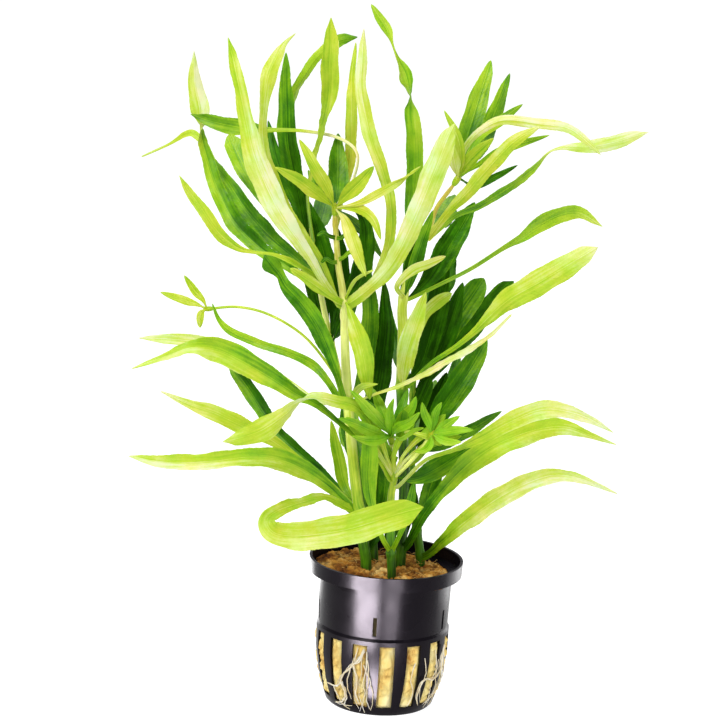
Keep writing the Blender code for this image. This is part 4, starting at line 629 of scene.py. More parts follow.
# Fine roots as (degrees, mm above the table, mm off the wall), beside the strands above
FINE_ROOTS = {
    "roots_left": [
        [(-21, 26, 0.2), (-23, 20, 0.9), (-21, 13, 0.8), (-24, 7, 0.8), (-20, 2.5, 0.7)],
        [(-13, 25, 0.2), (-12, 20, 0.8), (-15, 14, 0.9), (-13, 9, 0.8), (-16, 4, 0.8), (-14, 1.2, 0.8)],
        [(-17, 24, 0.1), (-17, 16, 0.8), (-19, 10, 0.9), (-17, 5, 0.8), (-19, 1.5, 0.8)],
        [(-12, 22, 0.3), (-10, 15, 0.9), (-12, 8, 0.8), (-9, 3, 0.8)],
        [(-24, 22, 0.2), (-28, 16, 0.8), (-30, 11, 0.8), (-27, 6, 0.8)],
        [(-46, 9.5, 0.9), (-42, 5, 0.8), (-36, 2.5, 0.8), (-30, 1.5, 0.8)],
        [(-15, 20, 0.3), (-8, 13, 0.8), (-6, 7, 0.8), (-8, 2.5, 0.8)],
        [(-38, 3.2, 0.5), (-33, 2.8, 0.9), (-27, 3.2, 0.7)],
    ],
    "roots_right": [
        [(52, 24, 0.2), (54, 18, 0.9), (50, 12, 0.8), (54, 6, 0.8), (50, 2, 0.8)],
        [(40, 22, 0.1), (42, 16, 0.8), (38, 11, 0.8), (42, 5, 0.8)],
        [(66, 23, 0.2), (70, 17, 0.8), (66, 11, 0.8), (64, 5, 0.8), (58, 2, 0.8)],
        [(58, 20, 0.2), (56, 14, 0.9), (60, 9, 0.8), (55, 3, 0.8)],
        [(30, 21, 0.1), (27, 15, 0.7), (31, 9, 0.8), (28, 4, 0.8)],
    ],
}

# Stage
WORLD_FRONT = 0.36
WORLD_BACK = 0.80
FLOOR_LIGHT = 0.92
FLOOR_REACH = 40
# Lights round the plant, as (name, azimuth, elevation, distance, size, power). Azimuth 0 is in front, and it
# grows to the right.
LAMPS = [("key", -35, 45, 1.5, 0.6, 21), ("fill", 40, 18, 1.6, 0.8, 8), ("top", 160, 68, 1.2, 0.9, 10)]
LAMPS_FACE = Vector((0, 0, 0.11))
# Panels that the pot's side mirrors, as (name, place, what it faces, width, height, power)
CARDS = [
    ("card_front", (-0.045, -0.087, 0.013), (0.0, 0.0, 0.013), 0.060, 0.026, 0.95),
    ("card_middle", (0.020, -0.096, 0.013), (0.0, 0.0, 0.013), 0.034, 0.026, 0.15),
    ("card_low", (-0.0075, -0.037, 0.0028), (-0.0075, -0.032, 0.050), 0.013, 0.022, 0.12),
    ("card_left", (-0.060, 0.105, 0.030), (0.0, 0.0, 0.030), 0.090, 0.055, 0.08),
    ("card_right", (0.104, 0.062, 0.030), (0.0, 0.0, 0.030), 0.090, 0.055, 0.08),
]

# Colours of the surfaces. A list of them is a ramp of (place, colour).
LEAF_COLOURS = [
    (0.00, (0.012, 0.062, 0.001)),
    (0.20, (0.045, 0.190, 0.002)),
    (0.38, (0.165, 0.385, 0.004)),
    (0.55, (0.330, 0.545, 0.012)),
    (0.72, (0.480, 0.630, 0.035)),
    (0.86, (0.600, 0.710, 0.160)),
    (0.94, (0.670, 0.750, 0.280)),
    (1.00, (0.720, 0.770, 0.440)),
]
STEM_COLOURS = [
    (0.00, (0.012, 0.045, 0.002)),
    (0.20, (0.100, 0.290, 0.005)),
    (0.40, (0.480, 0.590, 0.040)),
    (0.60, (0.820, 0.860, 0.280)),
    (0.80, (0.440, 0.400, 0.040)),
    (1.00, (0.400, 0.230, 0.080)),
]
WOOL_TOP_COLOURS = [
    (0.15, (0.040, 0.010, 0.002)),
    (0.42, (0.230, 0.080, 0.010)),
    (0.68, (0.480, 0.220, 0.035)),
    (0.95, (0.720, 0.480, 0.160)),
]
WOOL_SIDE_COLOURS = [
    (0.10, (0.500, 0.240, 0.050)),
    (0.32, (0.840, 0.580, 0.170)),
    (0.58, (0.900, 0.720, 0.270)),
    (0.95, (0.930, 0.820, 0.440)),
]
ROOT_COLOURS = [(0.3, (0.80, 0.76, 0.66)), (0.62, (0.62, 0.50, 0.30))]
SPECK_COLOUR = (0.16, 0.13, 0.02, 1)
THROUGH_COLOUR = (0.45, 0.55, 0.02, 1)
# Painted shade of the rockwool: its crevices between lumps, and the plug where it stands behind the pot's
# side
CREVICE_SHADE_COLOUR = (0.030, 0.014, 0.005, 1)


# The view


def view_axes():
    """(right, up, forward) of the view in the row frame."""
    right = Vector((1, 0, 0))
    up = Vector((0, math.sin(VIEW_PITCH), math.cos(VIEW_PITCH)))
    forward = Vector((0, math.cos(VIEW_PITCH), -math.sin(VIEW_PITCH)))
    turned_right = right * math.cos(VIEW_ROLL) + up * math.sin(VIEW_ROLL)
    turned_up = up * math.cos(VIEW_ROLL) - right * math.sin(VIEW_ROLL)
    return turned_right, turned_up, forward


RIGHT, UP, FORWARD = view_axes()
EYE = VIEW_TARGET - FORWARD * VIEW_DISTANCE


def seen(across, down, nearer_mm):
    """The point seen at that pixel, that far in front of the upright plane through the pot's axis."""
    half = PICTURE / 2
    ray = RIGHT * ((across - half) / FOCUS) + UP * ((half - down) / FOCUS) + FORWARD
    return EYE + ray * ((-nearer_mm * MM - EYE.y) / ray.y)


def row_of(point):
    """The row of the picture in which a point is seen."""
    offset = point - EYE
    return PICTURE / 2 - FOCUS * offset.dot(UP) / offset.dot(FORWARD)


def add_camera():
    camera = bpy.data.cameras.new("camera")
    camera.sensor_width = SENSOR_MM
    camera.lens = FOCUS / PICTURE * SENSOR_MM
    camera.clip_start = 0.01
    camera.clip_end = 50
    obj = bpy.data.objects.new("camera", camera)
    axes = Matrix((RIGHT, UP, -FORWARD)).transposed()
    obj.matrix_world = Matrix.Translation(EYE) @ axes.to_4x4()
    bpy.context.scene.collection.objects.link(obj)
    bpy.context.scene.camera = obj


# Smooth lines


def smooth_line(points, count):
    """count + 1 points evenly spaced along a smooth curve through points, which are equal-sized lists of
    numbers whose first three are a place."""
    rows = [list(point) for point in points]
    ends = [[2 * a - b for a, b in zip(rows[0], rows[1])], [2 * a - b for a, b in zip(rows[-1], rows[-2])]]
    rows = [ends[0], *rows, ends[1]]
    fine = []
    for a, b, c, d in zip(rows, rows[1:], rows[2:], rows[3:]):
        for step in range(12):
            t = step / 12
            fine.append([
                0.5 * (2 * q + (r - p) * t + (2 * p - 5 * q + 4 * r - s) * t ** 2
                       + (3 * q - p - 3 * r + s) * t ** 3)
                for p, q, r, s in zip(a, b, c, d)
            ])
    fine.append(rows[-2])
    fine = np.array(fine)
    along = np.concatenate([[0], np.cumsum(np.linalg.norm(np.diff(fine[:, :3], axis=0), axis=1))])
    wanted = np.linspace(0, along[-1], count + 1)
    return np.stack([np.interp(wanted, along, column) for column in fine.T], 1)


def length_of(line):
    return float(np.linalg.norm(np.diff(line[:, :3], axis=0), axis=1).sum())


def directions(points):
    """The direction of travel at each point of a line."""
    found = []
    for index in range(len(points)):
        low, high = points[max(index - 1, 0)], points[min(index + 1, len(points) - 1)]
        found.append((high - low).normalized())
    return found


def stem_line(stem):
    """(points, radii) of a stem, from its foot in the rockwool to its tip. The foot goes straight down."""
    foot, *places = (seen(*point) for point in stem.route)
    upright = [Vector((foot.x, foot.y, height)) for height in (WOOL_TOP - SOCKET_DEPTH, WOOL_TOP + 1.5 * MM)]
    line = [Vector(row) for row in smooth_line(upright + places, STEM_STEPS)]
    steps = len(line) - 1
    radii = [0.5 * MM * (stem.foot_mm + (stem.tip_mm - stem.foot_mm) * (index / steps) ** 2.2)
             for index in range(len(line))]
    return line, radii


def point_on_stem(line, radii, row, slide_mm=0):
    """(place, direction, radius) on a stem at that row of the picture, slid along it."""
    along = min(range(len(line)), key=lambda index: abs(row_of(line[index]) - row))
    other = along + 1 if row_of(line[along]) > row else along - 1
    other = min(max(other, 0), len(line) - 1)
    low, high = row_of(line[along]), row_of(line[other])
    share = 0 if other == along else (row - low) / (high - low)
    ahead = directions(line)[along]
    return line[along].lerp(line[other], share) + ahead * slide_mm * MM, ahead, radii[along]


def root_on(stem, row, slide_mm, toward):
    """Where a leaf leaves its stem: on the side that faces its first point."""
    centre, ahead, radius = point_on_stem(*stem, row, slide_mm)
    away = toward - centre
    away = (away - ahead * away.dot(ahead)).normalized()
    return centre + away * (radius + 2 * GAP)


def spread_route(root, route, swing_mm):
    """The points of a leaf's route as (x, y, z, width in mm, turn), once it is spread in depth from its root
    and has swung nearer or further."""
    root_nearer = -root.y / MM
    rows = []
    for index, point in enumerate(route, 1):
        across, down, nearer, width, turn = (*point, 0, 0)[:5]
        spread = root_nearer + (nearer - root_nearer) * SPREAD + swing_mm * index / len(route)
        rows.append([*seen(across, down, spread), width, turn])
    return rows


def settled(node, route, roots):
    """(slide, swing) of a leaf as its solid stands: those whose root and tip are points of the solid."""
    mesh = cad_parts[node].data
    corners = np.empty(len(mesh.vertices) * 3, np.float32)
    mesh.vertices.foreach_get("co", corners)
    corners = corners.reshape(-1, 3)

    def miss(place):
        return float(np.linalg.norm(corners - np.array(place[:3]), axis=1).min())

    swing = min(SWINGS, key=lambda swing: miss(spread_route(roots[0], route, swing)[-1]))
    slide = min(roots, key=lambda slide: miss(roots[slide]))
    return slide, swing


# Mesh parts. A part is a dict of points, faces, material index and two vectors a point that the materials
# read: blade is (mm across, mm along, seed), and shade is (-1 to 1 across, warmth, tone).


def rows_of(*values):
    """Each point's numbers as a row, from values that are given for every point, line or column of a grid."""
    return np.stack(np.broadcast_arrays(*values), -1).reshape(-1, len(values))


def sheet(grid):
    """Faces round and between the rings of a grid of indices, with a cap on the first ring."""
    low, high = grid[:-1], grid[1:]
    faces = np.stack([low, np.roll(low, -1, 1), np.roll(high, -1, 1), high], -1).reshape(-1, 4).tolist()
    faces.append(grid[0][::-1].tolist())
    return faces


def closed_tube(rings, tip=None):
    """(points, faces) of a tube through rings, given as an array (rings, points, 3), with caps or a tip."""
    count, size = rings.shape[:2]
    points = rings.reshape(-1, 3)
    grid = np.arange(count * size).reshape(count, size)
    faces = sheet(grid)
    if tip is None:
        faces.append(grid[-1].tolist())
    else:
        points = np.vstack([points, tip])
        last = len(points) - 1
        faces += [[a, b, last] for a, b in zip(grid[-1], np.roll(grid[-1], -1))]
    return points, faces


def build(name, parts, materials, node=None, smooth_degrees=60):
    """One object of all the parts, riding on the part and standing for its node."""
    points = np.vstack([part["points"] for part in parts])
    faces, slots, first = [], [], 0
    for part in parts:
        faces += [[first + index for index in face] for face in part["faces"]]
        slots += [part.get("material", 0)] * len(part["faces"])
        first += len(part["points"])
    mesh = bpy.data.meshes.new(name)
    mesh.from_pydata(points.tolist(), [], faces)
    mesh.polygons.foreach_set("material_index", slots)
    for key in ("blade", "shade"):
        rows = [part.get(key, np.zeros((len(part["points"]), 3))) for part in parts]
        layer = mesh.attributes.new(key, "FLOAT_VECTOR", "POINT")
        layer.data.foreach_set("vector", np.vstack(rows).astype(np.float32).ravel())
    for surface in materials:
        mesh.materials.append(surface)
    mesh.shade_smooth()
    mesh.set_sharp_from_angle(angle=math.radians(smooth_degrees))
    obj = bpy.data.objects.new(name, mesh)
    bpy.context.scene.collection.objects.link(obj)
    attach(obj, "root")
    if node:
        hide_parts(node)
    return obj


def outwards(points, faces):
    """The faces turned to look outwards."""
    flat = [face for face in faces if len(face) >= 3]
    volume = sum(
        float(np.dot(points[face[0]], np.cross(points[face[i]], points[face[i + 1]])))
        for face in flat for i in range(1, len(face) - 1)
    )
    return faces if volume > 0 else [face[::-1] for face in faces]


# Leaves


def half_widths(share, widest, belly):
    """Half the width of a leaf at each share of its length: a narrow stalk, a long belly and a blunt tip."""
    below = np.sin(np.pi / 2 * np.clip(share / belly, 0, 1)) ** 1.4
    above = np.sin(np.pi / 2 * np.clip((1 - share) / (1 - belly), 0, 1)) ** 0.65
    blade = np.where(share < belly, below, above) * widest
    stalk = PETIOLE_WIDTH * (1 - share) ** 2
    return np.maximum(blade, stalk) / 2


def sides_of(line):
    """(points, side, face) of a blade at each row of its line, as arrays. With no turn its face looks at the
    viewer. A side never flips from one point to the next, so a blade that doubles back folds."""
    points = [Vector(row[:3]) for row in line]
    found, last = [], None
    for point, ahead, row in zip(points, directions(points), line):
        side = ahead.cross((EYE - point).normalized())
        if last is not None:
            carried = (last - ahead * last.dot(ahead)).normalized()
            side = side if side.dot(carried) > 0 else -side
            sure = min(1.0, side.length / 0.5)
            side = carried.lerp(side.normalized(), sure)
        side = (side - ahead * side.dot(ahead)).normalized()
        last = side
        turned_side = Matrix.Rotation(math.radians(row[4]), 3, ahead) @ side
        found.append((point, turned_side, turned_side.cross(ahead)))
    return (np.array([list(row[index]) for row in found]) for index in range(3))


def smoothstep(x):
    x = np.clip(x, 0, 1)
    return x * x * (3 - 2 * x)


def tones_along(tones, share):
    """The tone from 0 to 1 at each share of a length, from evenly spaced tones in percent."""
    return np.interp(share, np.linspace(0, 1, len(tones)), np.array(tones) / 100)


def leaf_line(start, root, rows):
    """The rows of a leaf's smooth line, from a place inside its stem to its tip."""
    width, turn = rows[0][3:]
    stalk = [max(width, STALK_WIDTH_MM) if width else 0, turn]
    through = [[*start, *stalk], [*root, *stalk], *rows]
    count = int(np.clip(length_of(smooth_line(through, 24)) / LEAF_STEP, LEAST_STEPS, MOST_STEPS))
    return smooth_line(through, count)


def toothed(along, half, blade, phase, tooth):
    """Half the width of a blade on its left and on its right, with uneven teeth."""
    for index in (1, 2):
        saw = (along / tooth + 0.35 * np.sin(along / TOOTH_DRIFT + phase[index]) + phase[index]) % 1
        depth = TOOTH_DEPTH * (0.6 + 0.4 * np.sin(along / TOOTH_FADE + phase[index + 2]))
        yield half + blade * depth * (saw - 0.5) * 2


def leaf_part(start, root, rows, look, seed, columns, width_mm=0, belly=0.5):
    """A leaf with a toothed and waved margin, a midrib and a rounded stalk. It starts inside its stem."""
    tones, wave_mm, paler_half, warmth = look
    line = leaf_line(start, root, rows)
    centre, side, face = (column[:-1] for column in sides_of(line))
    count = len(line) - 1
    length = length_of(line)
    share = np.arange(count) / count
    along = share * length
    rng = np.random.default_rng(seed)
    phase = rng.uniform(0, math.tau, 8)

    if line[:, 3].any():
        rounded = np.clip((1 - share) / TIP_SHARE, 0, 1) ** 0.5
        half = np.clip(line[:-1, 3], LEAST_WIDTH_MM, None) * MM / 2 * rounded
    else:
        half = half_widths(share, width_mm * MM, belly)
    blade = smoothstep((half / MM - 0.75) / 1.1)
    half = half * (1 + blade * SWELL * np.sin(along / SWELL_EVERY * math.tau + phase[0]))
    left, right = toothed(along, half, blade, phase, TOOTH + TOOTH_SPREAD * rng.random())
    sway = blade * SWAY * np.sin(along / SWAY_EVERY * math.tau + phase[5])

    across = np.linspace(-1, 1, columns + 1)
    across = np.sign(across) * np.abs(across) ** 0.85
    width = np.where(across < 0, left[:, None], right[:, None]) * across + sway[:, None]
    lift = half[:, None] * LEAF_FOLD * np.abs(across) ** 1.4
    rise = blade * np.sin(math.pi * share) ** 0.4 * wave_mm * MM
    for index, hand in ((6, across < 0), (7, across >= 0)):
        ripple = np.sin(along / ((RIPPLE_MM + index) * MM) * math.tau + phase[index])
        ripple += 0.5 * np.sin(along / SHORT_RIPPLE * math.tau + phase[index - 2])
        lift = lift + np.where(hand, across ** 2, 0) * (rise * ripple)[:, None]
    rib = np.exp(-(width / RIB_WIDTH) ** 2) * (1 - 0.7 * share)[:, None]
    edge = np.sqrt(np.clip(1 - np.abs(across) ** 3, 0, 1))
    stalk = (1 - blade)[:, None]
    upper = edge * ((BLADE_HALF - RIB_GROOVE * rib) * (1 - stalk) + STALK_OVER * stalk) * MM
    lower = edge * ((BLADE_HALF + RIB_BACK * rib) * (1 - stalk) + STALK_UNDER * stalk) * MM

    base = centre[:, None] + side[:, None] * width[..., None]
    over = base + face[:, None] * (lift + upper)[..., None]
    under = base + face[:, None] * (lift - lower)[..., None]
    points, faces = closed_tube(np.concatenate([over, under[:, -2:0:-1]], 1), line[-1][:3])

    order = np.concatenate([np.arange(columns + 1), np.arange(columns - 1, 0, -1)])
    tone = tones_along(tones, share)[:, None] + paler_half * np.sign(across[order]) * blade[:, None]
    tone[:, columns + 1:] += UNDERSIDE
    yellow = (warmth * (1 - 0.6 * share))[:, None]
    blades = rows_of(width[:, order] / MM, along[:, None] / MM, float(seed))
    shades = rows_of(across[order], yellow, tone)
    return {
        "points": points,
        "faces": outwards(points, faces),
        "blade": np.vstack([blades, [0, length / MM, seed]]),
        "shade": np.vstack([shades, [0, yellow[-1, 0], tones[-1] / 100]]),
    }


def inner_part(core, rows, look, seed, width_mm=0):
    """A small leaf that starts at a place inside its owner."""
    root = core.lerp(Vector(rows[0][:3]), INSIDE)
    return leaf_part(core, root, rows, look, seed, LEAFLET_COLUMNS, width_mm)


def leaflet_part(core, leaflet, node, seed):
    """A small leaf that stands as in its solid."""
    _, swing = settled(node, leaflet.route, {0: core})
    look = leaflet.tones, leaflet.wave_mm, 0.05 * (-1) ** seed, WARMTH.get(node, 0)
    return inner_part(core, spread_route(core, leaflet.route, swing), look, seed, leaflet.width_mm)


def add_leaves(stems, surface):
    for seed, leaf in enumerate(LEAVES, 1):
        stem_name, row = WHORLS[leaf.whorl]
        toward = seen(*leaf.route[0][:3])
        roots = {slide: root_on(stems[stem_name], row, slide, toward) for slide in SLIDES}
        slide, swing = settled("leaf_" + leaf.name, leaf.route, roots)
        start, _, _ = point_on_stem(*stems[stem_name], row, slide)
        rows = spread_route(roots[slide], leaf.route, swing)
        look = leaf.tones, leaf.wave_mm, leaf.paler_half, leaf.warmth
        part = leaf_part(start, roots[slide], rows, look, seed, LEAF_COLUMNS, leaf.width_mm, leaf.belly)
        build("blade_" + leaf.name, [part], [surface], "leaf_" + leaf.name)


# Stems


def tube_part(line, radii, tones, seed, sides=18, material=0):
    """A round tube with the tone at each of its points."""
    line = [Vector(point) for point in line]
    turns = np.arange(sides) * math.tau / sides
    rings = []
    for centre, ahead, radius in zip(line, directions(line), radii):
        side = ahead.cross(Vector((0.1, 1, 0.05))).normalized()
        front = side.cross(ahead)
        ring = np.outer(np.cos(turns), side) + np.outer(np.sin(turns), front)
        rings.append(np.array(centre) + radius * ring)
    points, faces = closed_tube(np.array(rings))
    along = np.concatenate([[0], np.cumsum(np.linalg.norm(np.diff(np.array(line), axis=0), axis=1))]) / MM
    turn = np.linspace(-1, 1, sides, endpoint=False)
    return {
        "points": points,
        "faces": outwards(points, faces),
        "blade": rows_of(np.outer(np.array(radii) / MM, turn * math.pi), along[:, None], float(seed)),
        "shade": rows_of(turn, (along / along[-1])[:, None], np.array(tones)[:, None]),
        "material": material,
    }


def stem_part(stem, line, radii):
    """A stem with a swelling at each of its nodes."""
    fine = smooth_line([list(point) for point in line], FINE_STEM_STEPS)
    share = np.linspace(0, 1, len(fine))
    radius = np.interp(share, np.linspace(0, 1, len(radii)), radii) * (1 - 0.2 * share ** 3)
    where, more = THICKER.get(stem.name, (0, 0))
    radius = radius * (1 + more * np.exp(-((share - where) / 0.13) ** 2))
    for name, row in WHORLS.values():
        if name == stem.name:
            centre, _, _ = point_on_stem(line, radii, row)
            away = np.linalg.norm(fine - np.array(centre), axis=1) / MM
            radius = radius * (1 + NODE_SWELL * np.exp(-(away / NODE_REACH_MM) ** 2))
    return tube_part(fine, radius, tones_along(STEM_TONES[stem.name], share), len(stem.name))


def bud_part(heart, ahead, radius):
    """The closed bud in the middle of a crown."""
    steps = np.linspace(-1, 1, 9)
    line = [heart + ahead * radius * 1.8 * (step - 0.3) for step in steps]
    radii = [radius * 0.80 * math.sqrt(max(1 - step ** 2, 0.01)) for step in steps]
    return tube_part(line, radii, [0.55] * len(steps), 3, 12)


def add_stems(stems, stem_surface, leaf_surface):
    for index, stem in enumerate(STEMS):
        parts = [stem_part(stem, *stems[stem.name])]
        for seed, (whorl, leaflet) in enumerate(STEM_LEAFLETS[stem.name], LEAFLET_SEED + 10 * index):
            core, _, _ = point_on_stem(*stems[stem.name], WHORLS[whorl][1])
            parts.append(leaflet_part(core, leaflet, stem.name, seed))
        for seed, (row, tones, route) in enumerate(YOUNG.get(stem.name, []), YOUNG_SEED + 10 * index):
            core, _, _ = point_on_stem(*stems[stem.name], row)
            look = tones, YOUNG_WAVE_MM, YOUNG_PALER_HALF, YOUNG_WARMTH
            parts.append(inner_part(core, spread_route(core, route, 0), look, seed))
        for part in parts[1:]:
            part["material"] = 1
        build(stem.name.replace("stem", "stalk", 1), parts, [stem_surface, leaf_surface], stem.name)


def add_crowns(stems, leaf_surface, stem_surface):
    for index, (name, crown) in enumerate(CROWNS.items()):
        heart = seen(*crown.bud)
        line, radii = stems[crown.stem]
        if name in SHOOTS:
            whorl, thick, route = SHOOTS[name]
            start, _, _ = point_on_stem(line, radii, WHORLS[whorl][1])
            shoot = smooth_line([start, *(seen(*point) for point in route), heart], 40)
            radius = thick * MM / 2
        else:
            shoot = smooth_line([line[-2], line[-1], heart], 12)
            radius = radii[-1] * 0.78
        ahead = Vector(shoot[-1] - shoot[-2]).normalized()
        tones = tones_along(STEM_TONES[name], np.linspace(0, 1, len(shoot)))
        parts = [tube_part(shoot, [radius] * len(shoot), tones, 5, 14, 1)]
        parts.append(bud_part(heart, ahead, crown.bud_mm * MM))
        for seed, leaflet in enumerate(crown.leaflets, CROWN_SEED + 20 * index):
            parts.append(leaflet_part(heart, leaflet, name, seed))
        build("young_" + name, parts, [leaf_surface, stem_surface], name)


# Pot


def shell_radius(height):
    """Outer radius of the pot's side below its collar."""
    heights, radii = zip(*POT_SIDE)
    return float(np.interp(height / MM, heights, radii)) * MM


def pot_rows():
    """Rows of the pot from the middle of its floor out and up, as (outer radius, outer height, inner radius,
    inner height, slot's half width there, what is open between this row and the next)."""
    half = SLOT_WIDTH / 2
    rows = [(FLOOR_DISC, 0, FLOOR_DISC, FLOOR, 0.4 * MM, None)]
    for radius, what in ((FLOOR_SLOT_IN, "slot"), (FLOOR_SLOT_MIDDLE, "slot"), (FLOOR_SLOT_OUT, None)):
        rows.append((radius, 0, radius, FLOOR, FLOOR_SLOT_WIDTH / 2, what))
    inside = FOOT_RADIUS - WALL
    rows.append((FOOT_RADIUS - FOOT_CHAMFER, 0, inside - 0.5 * MM, FLOOR, half, None))
    rows.append((FOOT_RADIUS, FOOT_CHAMFER, inside + 0.05 * MM, FLOOR + 0.5 * MM, half, None))
    opened = dict.fromkeys([SLOT_LOW, *SLOT_ROWS], "slot")
    opened |= dict.fromkeys([SLOT_HIGH, STEP_LOW, STEP_HIGH, SLIT_LOW, SLIT_HIGH, BAND_ROW])
    opened[SLIT_LOW] = "slit"
    for height, what in opened.items():
        radius = shell_radius(height)
        rows.append((radius, height, radius - WALL, height, half, what))
    collar = POT_HEIGHT - COLLAR_HEIGHT
    shoulder, radius = POT_SIDE[-1][0] * MM, POT_SIDE[-1][1] * MM
    inside = RIM_RADIUS - WALL
    rows.append((radius, shoulder, radius - WALL, shoulder + WALL * 0.6, half, None))
    rows.append((RIM_RADIUS - COLLAR_TAPER, collar, inside - COLLAR_TAPER, collar + WALL * 0.6, half, None))
    rows.append((RIM_RADIUS - 0.1 * MM, POT_HEIGHT - 1.2 * MM, inside, POT_HEIGHT - 1.0 * MM, half, None))
    rows.append((RIM_RADIUS, POT_HEIGHT, inside, POT_HEIGHT, half, None))
    return rows


def pot_columns(radius, half):
    """(angle, what lies between this column and the next) for every column at that radius."""
    pitch = math.tau / SLOTS
    reach = math.asin(min(half / radius, 0.99))
    slit = math.asin(min(SLIT_WIDTH / 2 / radius, 0.2))
    columns = []
    for index in range(SLOTS):
        centre = SLOT_PHASE + pitch * index
        columns += [(centre + reach * share, "slot") for share in (-1, -0.5, 0, 0.5)]
        rib = centre + pitch / 2
        opened = "slit" if index % SLIT_EVERY == SLIT_FIRST else "rib"
        aside = max((pitch / 2 - reach - slit) / 2, 0)
        columns += [(centre + reach, "rib"), (rib - slit - aside, "rib"), (rib - slit, opened), (rib, opened),
                    (rib + slit, "rib"), (rib + slit + aside, "rib")]
    return columns


def pot_faces(opened, size, first):
    """Faces of the pot's outer side, its inner side from point first on, and the edges of what is open."""
    faces = []
    for row, open_here in enumerate(opened):
        for column in range(size):
            after = (column + 1) % size
            a, b = row * size + column, row * size + after
            d, c = a + size, b + size
            if open_here[column]:
                continue
            faces += [[a, b, c, d], [first + d, first + c, first + b, first + a]]
            if open_here[after]:
                faces.append([b, first + b, first + c, c])
            if open_here[column - 1]:
                faces.append([a, d, first + d, first + a])
            if row and opened[row - 1][column]:
                faces.append([a, first + a, first + b, b])
            if row + 1 < len(opened) and opened[row + 1][column]:
                faces.append([c, first + c, first + d, d])
    top = len(opened) * size
    for column in range(size):
        a, b = top + column, top + (column + 1) % size
        faces.append([a, b, first + b, first + a])
    return faces + [list(range(size))[::-1], [first + index for index in range(size)]]


def add_pot(surface):
    rows = pot_rows()
    outer, inner = [], []
    for out_radius, out_height, in_radius, in_height, half, _ in rows:
        for points, radius, height in ((outer, out_radius, out_height), (inner, in_radius, in_height)):
            for angle, _ in pot_columns(radius, half):
                points.append((radius * math.cos(angle), radius * math.sin(angle), height))
    kinds = [kind for _, kind in pot_columns(FOOT_RADIUS, SLOT_WIDTH / 2)]
    opened = [[row[5] is not None and kind == row[5] for kind in kinds] for row in rows[:-1]]
    shell = {"points": np.array(outer + inner), "faces": pot_faces(opened, len(kinds), len(outer))}
    obj = build("pot_shell", [shell], [surface], "net_pot", 30)
    bevel = obj.modifiers.new("soft_edges", "BEVEL")
    bevel.width = EDGE_BEVEL
    bevel.segments = 2
    bevel.limit_method = "ANGLE"
    bevel.angle_limit = SHARP_EDGE
    return obj


# Rockwool


def slot_offset(angle, radius):
    """How far a place is from the middle of the nearest slot, along the wall."""
    slot = (angle - SLOT_PHASE) * SLOTS / math.tau
    return abs(slot - round(slot)) * math.tau / SLOTS * radius


def wool_point(angle, radius, height):
    """(place, crevice, grit, stain) of the plug's surface where it would be smooth. A crevice is 0 inside a
    lump and 1 in the gap between two."""
    place = Vector((radius * math.cos(angle), radius * math.sin(angle), height))
    bent = place + noise.noise_vector(place / (3 * MM)) * 0.6 * MM
    apart, _ = noise.voronoi(bent / WOOL_LUMP)
    crevice = 1 - min((apart[1] - apart[0]) / 0.22, 1)
    grit = noise.fractal(place / WOOL_GRIT, 0.9, 2.1, 4)
    return place, crevice, grit, noise.noise(place / WOOL_STAIN) * 0.5


def wool_side(angle, height):
    """(point, shade) of the plug's side, which bulges a little into the slots."""
    radius = shell_radius(min(height, WOOL_SIDE_TOP)) - WALL - GAP
    inside = 1 - min(slot_offset(angle, radius) / (SLOT_WIDTH / 2 - GAP), 1) ** 3
    ends = min((height - SLOT_LOW) / (1.6 * MM), (SLOT_HIGH - height) / (1.6 * MM), 1)
    open_here = max(inside, 0) * max(ends, 0) ** 0.5
    place, crevice, grit, stain = wool_point(angle, radius, height)
    swell = open_here * (WOOL_BULGE + 0.35 * MM * grit - 0.9 * MM * crevice)
    reach = (radius + swell) / radius
    # Painted shade: above the slots the plug stands behind the pot's side, and its colour is pushed dark
    # there
    shade_behind_slits = min(max((height - 28.5 * MM) / MM, 0), 1)
    return (place.x * reach, place.y * reach, height), (crevice * open_here + 4.5 * shade_behind_slits, 0, stain)


def wool_top(angle, share):
    """(point, shade) of the plug's lumpy top, at that share of its radius."""
    lean = -WOOL_TILT * math.cos(angle - WOOL_LOW_SIDE)
    over_shoulder = min(1, max(0, (WOOL_TOP - WOOL_SHOULDER + lean) / MM))
    radius = (WOOL_NARROW + (WOOL_RADIUS - WOOL_NARROW) * over_shoulder) * share ** 0.9
    place, crevice, grit, stain = wool_point(angle, radius, WOOL_TOP)
    shoulder = -1.6 * MM * max(0, (share - 0.86) / 0.14) ** 2
    height = WOOL_TOP + lean * share + shoulder + 0.75 * MM * grit - 1.1 * MM * crevice
    return (place.x, place.y, max(height, WOOL_SIDE_TOP + 0.3 * MM)), (crevice, 1, stain)


